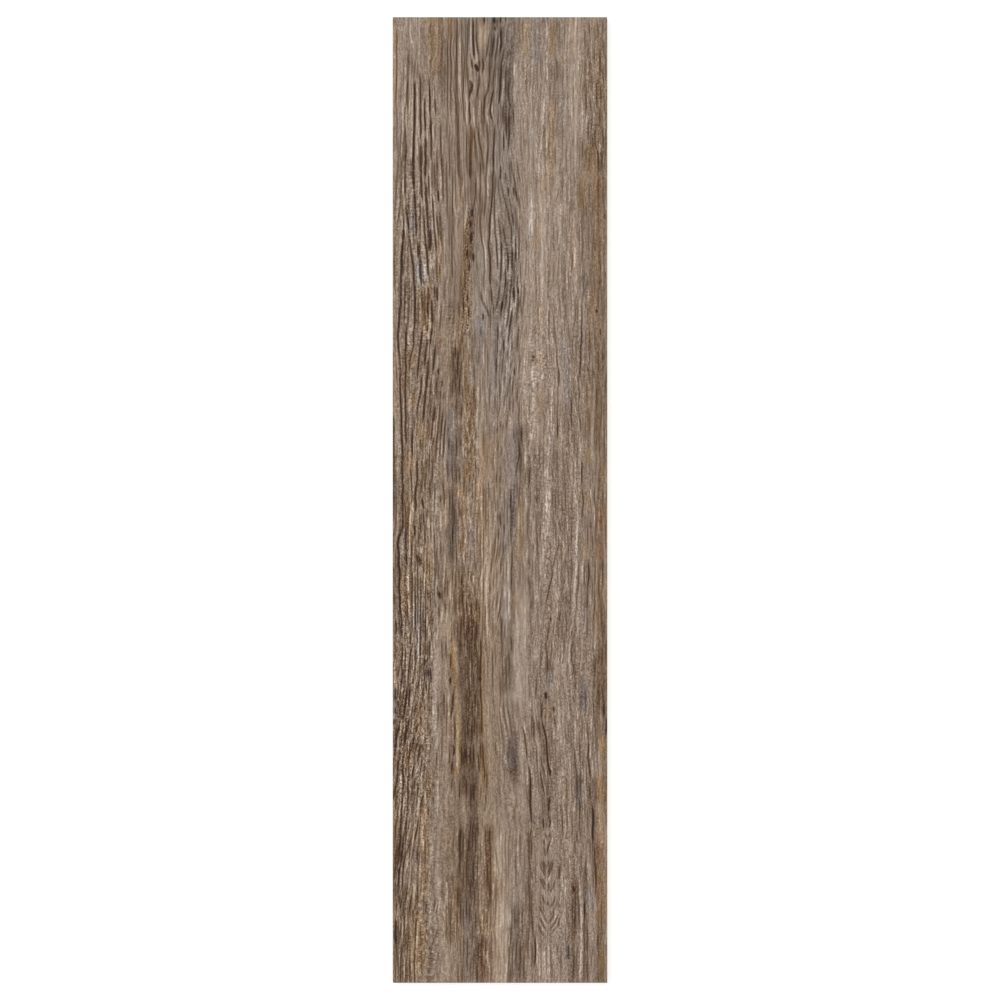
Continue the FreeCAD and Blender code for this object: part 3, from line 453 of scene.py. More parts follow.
    (0.3, 593, 200, 593.4, 216), (0.3, 598.6, 178, 599, 196), (0.3, 602.6, 186, 603, 204),
    (0.3, 606, 180, 606.2, 200), (0.3, 588.4, 230, 588.8, 250), (0.3, 592.6, 240, 593, 262),
    (0.3, 597, 228, 597.4, 248), (0.3, 600.4, 250, 600.8, 272), (0.3, 590, 268, 590.4, 288),
    (0.3, 594.6, 278, 595, 298), (0.3, 598.4, 290, 598.8, 308), (0.3, 601.6, 284, 602, 304),
    (0.3, 587.8, 300, 588, 320), (0.3, 593.4, 312, 593.8, 330), (0.3, 604.6, 300, 605, 322),
    (0.3, 562.6, 215, 562.8, 240), (0.3, 558.4, 224, 558, 244), (0.3, 554, 222, 553.8, 240),
    (0.3, 551, 236, 550.8, 262), (0.3, 566.4, 226, 566.8, 250), (0.3, 570, 205, 570.2, 230),
    (0.3, 571.2, 236, 570.8, 256), (0.3, 561.6, 250, 561.4, 274), (0.3, 565.4, 262, 565.8, 284),
    (0.3, 568.6, 270, 569, 292), (0.3, 557.8, 268, 557.4, 288), (0.3, 553.6, 262, 553.2, 282),
    (0.3, 563.4, 286, 563.2, 306), (0.3, 560, 296, 560.4, 318), (0.3, 566.6, 300, 566.8, 326),
    (0.3, 571, 288, 571.4, 312), (0.3, 575.4, 296, 575.6, 322), (0.3, 578, 300, 578.2, 330),
    (0.3, 582, 304, 582.2, 330), (0.3, 546, 298, 547.2, 312), (0.3, 537.4, 300, 537.8, 326),
    (0.3, 533, 290, 533.2, 310), (0.3, 529, 262, 529.4, 290), (0.3, 545.4, 262, 545.8, 286),
    (0.3, 549.2, 205, 549, 226), (0.3, 545.4, 216, 544.6, 226), (0.3, 534.6, 226, 534, 246),
    (0.3, 527.4, 180, 527.6, 206), (0.3, 553.6, 176, 553.2, 190), (0.3, 562.8, 172, 563, 194),
    (0.3, 567.6, 180, 567.4, 206), (0.3, 541, 240, 541.2, 262), (0.3, 547, 228, 546.6, 244),
    (0.3, 514.2, 176, 514.6, 196), (0.45, 518.8, 196, 520.2, 212), (0.3, 517, 219, 518.2, 231),
    (0.3, 519, 240, 519.2, 256), (0.45, 520.2, 260, 520.6, 280), (0.6, 521, 297, 521.2, 316),
    (0.45, 516.6, 298, 517, 310), (0.3, 523.8, 280, 524, 310), (0.3, 522.6, 214, 523.2, 230),
    (0.7, 554.4, 322, 556.3, 344, 556.9, 356, 557.8, 365, 558.8, 374),
    (0.4, 559, 386, 558.1, 391, 557.8, 409, 558.1, 422, 557.8, 440),
    (0.85, 518.8, 325, 518, 338, 516.9, 352), (0.65, 518.8, 384, 516.3, 402),
    (0.75, 521.3, 426, 521.9, 444), (0.8, 518.8, 440, 519.4, 454, 516.9, 467, 515.6, 478),
    (0.5, 521.4, 450, 520.6, 480), (0.55, 520, 352, 518.6, 374), (0.55, 519.4, 400, 518.8, 424),
    (0.6, 571.4, 412, 571.9, 426), (0.7, 578.1, 374, 578.8, 386),
    (0.7, 578.8, 401, 578.8, 411, 580.6, 424, 581.3, 432),
    (0.6, 581.3, 325, 581.9, 335, 581.5, 346, 581, 359, 580, 371, 579, 382), (0.6, 603, 352, 603.4, 361),
    (0.6, 603.1, 364, 603.3, 371), (0.6, 588.1, 366, 588.3, 372), (0.5, 528.8, 440, 528, 448),
    (0.7, 531.2, 464, 530, 474, 528.8, 486), (0.5, 525, 470, 525.6, 486),
    (0.4, 566.3, 438, 568.8, 449, 570.8, 461), (0.4, 568.6, 438, 572, 452),
    (0.4, 565, 458, 568.8, 471, 571.3, 486), (0.3, 562.4, 440, 563.4, 462), (0.4, 560.6, 400, 561, 420),
    (0.4, 564.6, 412, 565, 432), (0.4, 568.4, 416, 568.8, 434), (0.3, 554, 440, 554.4, 470),
    (0.4, 557.6, 448, 557.8, 474), (0.4, 574.6, 432, 575, 456), (0.4, 577.6, 444, 577.4, 470),
    (0.4, 573.6, 462, 574, 484), (0.4, 586, 326, 586.4, 350), (0.4, 590.4, 334, 590.8, 356),
    (0.4, 595, 326, 595.4, 350), (0.4, 599, 350, 599.4, 372), (0.4, 593, 368, 593.4, 392),
    (0.4, 597, 386, 597.4, 410), (0.4, 587, 384, 587.4, 404), (0.4, 601.6, 394, 602, 420),
    (0.4, 605.4, 380, 605.6, 404), (0.4, 590.4, 410, 590.6, 436), (0.4, 594.8, 424, 595.2, 450),
    (0.4, 599.4, 428, 599.8, 454), (0.5, 604.6, 438, 605, 470), (0.4, 585.4, 420, 585.6, 442),
    (0.4, 586.6, 452, 587, 476), (0.3, 592.4, 460, 592.8, 484), (0.3, 551, 346, 552.4, 366),
    (0.3, 548, 330, 549.4, 342), (0.3, 546.4, 348, 547.4, 362), (0.3, 529, 345, 528.6, 366),
    (0.3, 536, 352, 535.4, 366), (0.3, 548.6, 388, 548.4, 410), (0.3, 554.6, 396, 554.8, 420),
    (0.3, 529.4, 396, 529.6, 416), (0.3, 536.4, 424, 535.8, 440), (0.3, 526.4, 420, 526.6, 440),
    (0.3, 540, 440, 539.6, 466), (0.3, 544, 446, 543.8, 474), (0.3, 534.6, 444, 534.4, 462),
    (0.3, 536.8, 466, 536.4, 486), (0.4, 561.6, 325, 562, 338), (0.3, 572.4, 336, 573.4, 360),
    (0.3, 576.2, 340, 576.8, 366), (0.3, 569, 326, 570, 344), (0.3, 573.6, 380, 574.4, 396),
    (0.7, 588.2, 586, 587.8, 599, 587.3, 611), (0.6, 558.5, 520, 560, 526, 561.9, 533),
    (0.4, 557.5, 556, 557.8, 569, 557.8, 588), (0.4, 528.1, 506, 528.1, 518, 527.5, 530, 528, 541),
    (0.5, 528.8, 575, 528, 586), (0.5, 530, 580, 530, 591), (0.5, 528.8, 557, 529.4, 566),
    (0.6, 533, 543, 533.8, 553), (0.6, 535, 494, 536.9, 503), (0.6, 536.3, 484, 536.9, 492),
    (0.6, 533, 512, 533.4, 520), (0.5, 540.6, 523, 540.3, 531, 540, 541), (0.4, 565, 555, 565.6, 573),
    (0.6, 592.5, 534, 593.1, 546, 592.5, 552), (0.6, 590, 520, 592, 530),
    (0.6, 561.9, 609, 560.3, 615, 560, 622), (0.3, 549.4, 595, 552.5, 605, 554.4, 615),
    (0.3, 551.9, 591, 555.6, 604, 556.9, 614), (0.6, 550, 623, 548, 633, 547.5, 642),
    (0.5, 514.6, 480, 514, 500, 513.4, 518), (0.5, 517.4, 480, 517, 500),
    (0.5, 519.6, 482, 518.8, 500, 517.4, 514), (0.4, 512.8, 500, 512.6, 530),
    (0.4, 515.4, 508, 514.6, 530), (0.3, 522.4, 486, 522.4, 510), (0.3, 530.6, 486, 530.8, 506),
    (0.3, 539, 486, 539.6, 504), (0.3, 542.4, 500, 542, 520), (0.4, 531, 520, 531.4, 540),
    (0.4, 536, 512, 536.4, 534), (0.4, 537.4, 536, 537.2, 556), (0.4, 532, 556, 532.6, 576),
    (0.3, 535.4, 560, 536, 584), (0.3, 539.4, 572, 538.8, 596), (0.3, 541.8, 584, 541, 604),
    (0.3, 533.4, 588, 533.6, 612), (0.3, 525.4, 570, 525.4, 590), (0.3, 523, 530, 523, 552),
    (0.3, 520.4, 560, 520.4, 586), (0.4, 552.6, 486, 553, 510), (0.4, 555.4, 492, 555.6, 516),
    (0.4, 558.6, 486, 559, 508), (0.4, 562, 494, 562.4, 518), (0.4, 565.6, 486, 566, 512),
    (0.4, 569, 500, 569.4, 526), (0.4, 572.4, 488, 572.6, 514), (0.4, 553.6, 518, 553.8, 540),
    (0.4, 556, 524, 556.2, 542), (0.4, 564.8, 522, 565.2, 546), (0.4, 568, 532, 568.4, 556),
    (0.4, 571.6, 522, 571.8, 548), (0.4, 561.6, 540, 562, 562), (0.4, 568.4, 562, 568.8, 586),
    (0.4, 572, 556, 572.2, 582), (0.3, 561.4, 566, 561.6, 586), (0.4, 570.6, 588, 571, 606),
    (0.4, 579.4, 530, 579, 556), (0.5, 579, 560, 578.6, 590), (0.4, 577.4, 590, 577, 616),
    (0.4, 584.6, 560, 584.4, 590), (0.4, 581.6, 580, 581.8, 606), (0.4, 584.8, 596, 584.6, 625),
    (0.5, 587.4, 612, 587.8, 640), (0.4, 595.4, 560, 595.6, 586), (0.4, 599, 570, 599.4, 598),
    (0.4, 603, 560, 603.4, 590), (0.4, 592.6, 580, 592.8, 604), (0.5, 594.6, 604, 595, 612),
    (0.5, 597, 610, 597.2, 620), (0.4, 601.4, 600, 601.6, 630), (0.4, 604.8, 604, 605, 636),
    (0.4, 594.6, 486, 595, 510), (0.4, 597.4, 500, 597.2, 530), (0.4, 603.4, 490, 603.6, 516),
    (0.4, 606, 520, 606, 550), (0.4, 595.4, 520, 595.6, 545), (0.4, 585.4, 514, 585.2, 535),
    (0.4, 588, 526, 588.2, 548), (0.4, 544, 610, 543.6, 630), (0.4, 554.4, 620, 554.2, 638),
    (0.4, 558, 624, 558.6, 640), (0.4, 562.4, 624, 562.8, 640), (0.4, 566.4, 614, 566.6, 636),
    (0.3, 538, 604, 537.8, 634), (0.3, 531, 616, 531.2, 640), (0.3, 526.4, 610, 526.6, 636),
    (0.4, 564, 594, 563.4, 602), (0.4, 567, 593, 566.6, 605), (0.65, 503.6, 354, 502.4, 366, 501.2, 378),
    (0.65, 508, 349, 507.4, 359), (0.65, 512.6, 342, 511.8, 352), (0.65, 505.8, 364, 505.2, 373),
    (0.65, 510.8, 362, 510.2, 370), (0.65, 513.8, 376, 512.8, 386, 511.6, 396),
    (0.65, 510.6, 374, 509.4, 386), (0.55, 508.4, 384, 507, 398), (0.65, 505, 374, 504, 386),
    (0.65, 500.6, 382, 500, 391, 499.4, 400), (0.5, 496, 376, 495.4, 388), (0.6, 495.4, 394, 494.6, 410),
    (0.5, 490.2, 380, 489.8, 392, 489.2, 412), (0.4, 489.4, 420, 489.2, 440),
    (0.55, 505.4, 392, 503.6, 408), (0.55, 510.4, 396, 509, 412), (0.55, 514, 398, 512.4, 414),
    (0.4, 499.6, 404, 498, 418), (0.75, 500.6, 422, 500.2, 428), (0.75, 503.4, 423, 502.8, 431),
    (0.75, 506.8, 420, 506.6, 429), (0.6, 497.4, 426, 497, 434), (0.55, 508.4, 410, 507.2, 422),
    (0.5, 505, 436, 504.6, 448), (0.55, 514, 430, 514, 440), (0.4, 501.4, 446, 501, 456),
    (0.4, 498.4, 440, 498, 452), (0.5, 500.2, 465, 500, 472), (0.8, 500.2, 474, 499.6, 484),
    (0.6, 496.4, 473, 496, 484), (0.4, 504.4, 454, 504.2, 466), (0.4, 493.4, 452, 493, 470),
    (0.4, 485, 336, 484.6, 360), (0.4, 487.6, 350, 487.6, 376), (0.3, 482.6, 372, 482.6, 396),
    (0.3, 486, 400, 486, 424), (0.3, 483.4, 430, 483.4, 456), (0.3, 487, 444, 487, 470),
    (0.3, 480.4, 384, 480, 404), (0.6, 469.8, 329, 470, 338), (0.6, 472.4, 334, 472.2, 343),
    (0.5, 471.8, 345, 471.6, 361), (0.4, 475, 328, 475, 344), (0.4, 473.8, 362, 474, 380),
    (0.6, 480.8, 326, 480.6, 337), (0.4, 478.6, 352, 478.8, 366), (0.6, 461.8, 334, 461.6, 345),
    (0.5, 463.4, 346, 463, 362), (0.5, 461, 360, 461.2, 376), (0.6, 462.6, 386, 462.8, 399),
    (0.6, 453, 350, 453.2, 372), (0.7, 455.6, 344, 455.4, 358), (0.6, 457.8, 350, 457.6, 378),
    (0.6, 455.4, 366, 455.2, 390), (0.6, 452.6, 378, 452.4, 398), (0.5, 459.8, 340, 459.8, 356),
    (0.5, 459.4, 372, 459.2, 396), (0.4, 449, 356, 449, 376), (0.5, 450.8, 384, 450.6, 400),
    (0.5, 456.4, 396, 456, 412), (0.6, 461.8, 404, 461.4, 420), (0.6, 462, 424, 461.6, 434),
    (0.5, 459, 430, 459.4, 446), (0.7, 460.8, 438, 461, 447), (0.5, 456.4, 436, 456.4, 454),
    (0.6, 449, 436, 448.6, 450), (0.6, 452, 440, 451.8, 458), (0.5, 461.6, 450, 462, 462),
    (0.6, 452, 462, 452, 484), (0.4, 456.4, 466, 456, 484), (0.6, 459.6, 470, 459.4, 482),
    (0.5, 447.6, 460, 447.4, 482), (0.4, 464, 462, 464.4, 476), (0.6, 464.8, 476, 465, 486),
    (0.6, 473.8, 386, 473.6, 404), (0.6, 470.6, 400, 470.4, 408), (0.5, 475.4, 398, 475.4, 412),
    (0.5, 468.6, 384, 468.4, 396), (0.5, 471.6, 410, 471.4, 418), (0.8, 469.8, 418, 469.6, 436),
    (0.6, 474, 420, 474, 430), (0.6, 467, 434, 466.8, 444), (0.7, 472, 438, 472.4, 448),
    (0.6, 475.4, 432, 475.6, 440), (0.7, 470, 446, 469.8, 454), (0.7, 474.6, 444, 474.8, 456),
    (0.6, 467.6, 448, 467.8, 456), (0.7, 471.8, 456, 471.4, 468), (0.6, 475.6, 460, 475.6, 470),
    (0.6, 468.6, 460, 468.8, 468), (0.6, 473.4, 470, 473.6, 480), (0.6, 470, 474, 469.6, 484),
    (0.5, 466.8, 468, 466.6, 476), (0.5, 475.8, 476, 475.6, 486), (0.6, 452, 484, 451.8, 500),
    (0.6, 452.2, 546, 452.2, 566), (0.5, 451.6, 564, 452.2, 584), (0.5, 449.6, 490, 449.4, 510),
    (0.5, 454, 504, 454, 524), (0.6, 458.8, 500, 458.8, 515), (0.8, 460, 510, 459.8, 519),
    (0.5, 461.6, 506, 461.6, 522), (0.6, 463.4, 480, 463.6, 494), (0.6, 466.2, 484, 466, 500),
    (0.6, 469, 486, 469, 494), (0.6, 472.2, 482, 472, 490), (0.6, 472.6, 492, 472.4, 500),
    (0.5, 475, 486, 475, 504), (0.4, 466, 504, 466, 524), (0.4, 470.6, 502, 470.6, 520),
    (0.5, 474, 508, 474, 530), (0.4, 478.8, 500, 478.8, 520), (0.6, 483.4, 486, 483.4, 520),
    (0.5, 483.4, 524, 483.4, 570), (0.5, 483.6, 574, 483.6, 602), (0.4, 485.6, 486, 485.4, 530),
    (0.5, 488.6, 480, 488.6, 500), (0.4, 488.8, 508, 488.6, 540), (0.4, 491, 490, 491, 520),
    (0.4, 480, 530, 480, 560), (0.5, 476.6, 524, 476.6, 546), (0.5, 467.4, 524, 467.6, 544),
    (0.5, 463, 530, 463, 550), (0.5, 460, 538, 460, 552), (0.5, 456.4, 548, 456.4, 566),
    (0.4, 472, 530, 472, 546), (0.5, 470, 548, 470, 562), (0.5, 474.4, 550, 474.4, 570),
    (0.5, 465.4, 552, 465.2, 564), (0.7, 464.4, 564, 464.6, 578), (0.6, 468.4, 566, 468, 580),
    (0.6, 461.6, 574, 461.4, 586), (0.6, 472, 570, 471.6, 584), (0.6, 476, 562, 475.6, 572),
    (0.6, 478.6, 576, 478, 588), (0.6, 466, 582, 466, 594), (0.6, 469.4, 588, 469.2, 600),
    (0.6, 474.6, 584, 474.2, 596), (0.5, 458.4, 566, 458.4, 584), (0.6, 455.4, 572, 455.4, 590),
    (0.6, 462.4, 590, 462.2, 606), (0.6, 459.6, 596, 459.4, 612), (0.5, 456, 594, 455.8, 616),
    (0.6, 466.6, 600, 466.4, 614), (0.6, 471.8, 602, 471.4, 616), (0.6, 476.6, 598, 476.4, 612),
    (0.5, 479.6, 604, 479.4, 622), (0.6, 463.6, 612, 463.4, 628), (0.6, 460.4, 618, 460.4, 640),
    (0.7, 473, 616, 472.8, 628), (0.6, 468.6, 618, 468.6, 634), (0.6, 476.4, 620, 476.4, 640),
    (0.5, 457.4, 620, 457.4, 640), (0.6, 465.8, 630, 465.8, 641), (0.5, 482.4, 610, 482.4, 640),
    (0.5, 485, 606, 485, 632), (0.5, 453.6, 590, 453.6, 614), (0.7, 447.6, 578, 447.4, 598),
    (0.5, 449, 600, 449, 616), (0.6, 454, 620, 454, 640), (0.5, 500, 486, 499.8, 497),
    (0.5, 502, 506, 501.4, 512), (0.6, 497.6, 512, 497.2, 523), (0.5, 503.2, 512, 502.8, 530),
    (0.5, 504.8, 524, 504.4, 536), (0.5, 501.6, 528, 500.6, 540, 499.4, 552),
    (0.6, 498.2, 538, 496.8, 552, 495.4, 566), (0.5, 500, 546, 498.6, 560),
    (0.5, 496.4, 530, 495, 546, 493.4, 560), (0.5, 494, 540, 492.4, 556, 491.4, 572),
    (0.5, 503.4, 540, 502.4, 556), (0.5, 506, 542, 505.8, 552), (0.4, 508.4, 530, 508.2, 550),
    (0.5, 500.6, 561, 500.2, 574), (0.4, 497, 566, 496.4, 580), (0.5, 494.6, 572, 493.4, 590),
    (0.6, 491.4, 564, 490.8, 574), (0.6, 490, 582, 489.6, 594), (0.4, 503.4, 566, 502.8, 586),
    (0.4, 506.8, 560, 506.6, 580), (0.5, 498, 591, 496.8, 601, 495.8, 610), (0.4, 502.4, 586, 501.6, 598),
    (0.5, 500.6, 615, 500, 624), (0.5, 496.2, 624, 495.8, 632), (0.5, 498.6, 629, 498.2, 638),
    (0.4, 493, 596, 492, 612), (0.4, 490, 602, 489.8, 622), (0.4, 493, 616, 492.6, 634),
    (0.4, 504, 596, 503.6, 616), (0.4, 507.4, 590, 507, 614), (0.4, 501.6, 622, 501.2, 640),
    (0.4, 505, 624, 504.8, 640), (0.4, 498, 496, 497.6, 510), (0.4, 494.6, 486, 494.4, 506),
    (0.4, 504.6, 490, 504.6, 512), (0.4, 507.4, 500, 507.2, 524), (0.4, 493.4, 510, 492.8, 530),
    (0.5, 510.4, 488, 510.4, 510), (0.6, 460.4, 828, 460, 850, 459.6, 876), (0.5, 457.6, 886, 457.4, 906),
    (0.4, 463, 832, 463, 860), (0.4, 463.6, 866, 463.4, 892), (0.4, 472.6, 822, 472.6, 850),
    (0.4, 475.4, 830, 475.2, 856), (0.5, 473.4, 858, 473.2, 884), (0.5, 477.6, 852, 477.2, 874),
    (0.4, 480.4, 840, 480.2, 866), (0.4, 482.6, 820, 482.6, 842), (0.4, 485.4, 826, 485.4, 856),
    (0.6, 489.8, 828, 489.8, 856), (0.6, 490.4, 852, 490.6, 880), (0.6, 489.6, 880, 490, 905),
    (0.5, 487.6, 860, 487.8, 890), (0.4, 484.6, 866, 484.4, 892), (0.4, 481.6, 884, 481.8, 906),
    (0.5, 470.4, 880, 470.4, 900), (0.5, 474.6, 888, 474.4, 906), (0.4, 478, 892, 478, 912),
    (0.5, 466.6, 894, 466.4, 918), (0.5, 469.6, 904, 469.2, 926), (0.5, 463.4, 906, 463.2, 930),
    (0.4, 460.4, 900, 460.2, 926), (0.4, 456.6, 912, 456.4, 940), (0.5, 472.4, 922, 472.4, 944),
    (0.6, 466.6, 954, 467.2, 970), (0.4, 463.6, 936, 463.4, 960), (0.4, 460, 934, 459.8, 958),
    (0.5, 475.4, 910, 475.4, 930), (0.5, 480.4, 918, 480.4, 934), (0.5, 484.2, 908, 484, 926),
    (0.5, 487.4, 914, 487.2, 932), (0.5, 490.2, 908, 490.2, 930), (0.5, 482, 934, 481.8, 950),
    (0.5, 485.8, 938, 485.6, 954), (0.5, 489, 940, 489, 960), (0.5, 478.4, 942, 478.2, 960),
    (0.6, 481.2, 955, 481.6, 968), (0.5, 484.8, 962, 484.8, 978), (0.5, 488, 966, 488, 983),
    (0.5, 477, 964, 477, 983), (0.5, 473.6, 950, 473.4, 974), (0.4, 470.4, 960, 470.2, 983),
    (0.4, 462.4, 964, 462.2, 984), (0.4, 458, 962, 457.8, 984), (0.5, 491, 932, 491, 960),
    (0.4, 491, 962, 491, 984), (0.3, 493.8, 830, 493.8, 860), (0.3, 496.6, 846, 496.6, 880),
    (0.3, 499.4, 820, 499.4, 850), (0.3, 502.4, 838, 502.2, 870), (0.3, 505.6, 826, 505.4, 862),
    (0.3, 508.6, 842, 508.4, 880), (0.3, 495.4, 884, 495.4, 914), (0.3, 498.8, 892, 498.6, 925),
    (0.3, 502, 880, 502, 905), (0.3, 505, 896, 504.6, 930), (0.3, 508.6, 888, 508.4, 914),
    (0.3, 495, 930, 495, 960), (0.3, 498.4, 940, 498.2, 975), (0.3, 501.8, 920, 501.4, 950),
    (0.3, 505.2, 940, 504.6, 962),
    (0.3, 512.4, 888, 512, 915, 511, 934, 509.6, 950, 508.2, 966, 507, 984), (0.3, 516, 850, 516, 884),
    (0.3, 520, 832, 520, 866), (0.3, 524, 846, 524, 880), (0.3, 512.6, 836, 512.4, 866),
    (0.3, 515, 900, 514.6, 930), (0.3, 518.6, 890, 518.4, 924), (0.4, 522.4, 906, 522.2, 940),
    (0.4, 525.8, 884, 525.6, 910), (0.3, 513.4, 940, 512, 970), (0.3, 516.8, 936, 516, 966),
    (0.3, 520.4, 944, 520, 983), (0.4, 524, 950, 523.6, 983), (0.4, 526.6, 924, 526.4, 950),
    (0.4, 511, 968, 510, 984), (0.5, 531.6, 838, 531.4, 858), (0.5, 530.4, 862, 530.6, 884),
    (0.4, 528.4, 870, 528.4, 896), (0.5, 531.4, 890, 531.8, 914), (0.4, 529.4, 906, 530, 930),
    (0.5, 532.8, 918, 533.6, 940), (0.4, 531, 938, 531.6, 962), (0.4, 533.6, 720, 534, 738),
    (0.4, 536.6, 714, 537.2, 730), (0.4, 539.4, 722, 540.4, 740), (0.4, 531.4, 728, 532.4, 746),
    (0.5, 403.6, 498, 405, 507, 405.2, 520, 405.4, 536, 405.8, 552), (0.4, 408.2, 518, 408.2, 552),
    (0.6, 410.4, 524, 410.6, 545), (0.75, 410.8, 548, 411.2, 568), (0.6, 414.6, 529, 414.8, 538),
    (0.6, 415.4, 542, 415, 560), (0.75, 414.8, 560, 414.8, 574), (0.6, 418.6, 550, 418.6, 562),
    (0.75, 421.6, 554, 421.5, 566), (0.75, 423.2, 562, 423.2, 576), (0.75, 422.8, 576, 422.8, 600),
    (0.75, 417.2, 566, 417.2, 576), (0.6, 425.4, 578, 425.4, 600), (0.4, 409.2, 590, 409.4, 602),
    (0.6, 425, 600, 425.2, 612), (0.7, 427.2, 604, 427.6, 618), (0.8, 428.6, 616, 429, 626),
    (0.8, 431.3, 629, 431.8, 642), (0.6, 427, 626, 427, 640), (0.7, 425.4, 644, 425.2, 656),
    (0.8, 427.2, 642, 427.2, 656), (0.75, 422.8, 640, 422.6, 656), (0.8, 422.5, 660, 422.3, 670),
    (0.75, 417, 630, 416.8, 644), (0.75, 414.4, 640, 414.2, 660), (0.75, 416.4, 648, 416.2, 664),
    (0.7, 419.4, 658, 419.3, 674), (0.5, 412.4, 656, 412, 672), (0.5, 414.8, 662, 414.6, 678),
    (0.5, 417.4, 668, 417, 680), (0.7, 418.1, 680, 417.9, 690), (0.7, 421.4, 672, 421.2, 690),
    (0.8, 423.8, 668, 423.6, 684), (0.7, 426.2, 664, 426, 678), (0.7, 428.6, 682, 428.4, 696),
    (0.7, 423.4, 686, 423, 700), (0.5, 415.2, 682, 414.8, 700), (0.5, 410.6, 662, 410, 678),
    (0.5, 409.4, 680, 408.8, 698), (0.4, 404.8, 640, 404.6, 664), (0.5, 405, 664, 404.4, 690),
    (0.4, 406.4, 684, 406, 700), (0.75, 411.6, 616, 411.8, 632), (0.5, 410.2, 630, 410, 644),
    (0.4, 405, 606, 405, 622), (0.4, 409.8, 566, 409.8, 590), (0.6, 430.4, 612, 430.4, 628),
    (0.6, 429.6, 590, 429.6, 612), (0.6, 431, 660, 431, 668), (0.6, 429.4, 560, 429.2, 586),
    (0.6, 426.6, 552, 426.4, 574),
]
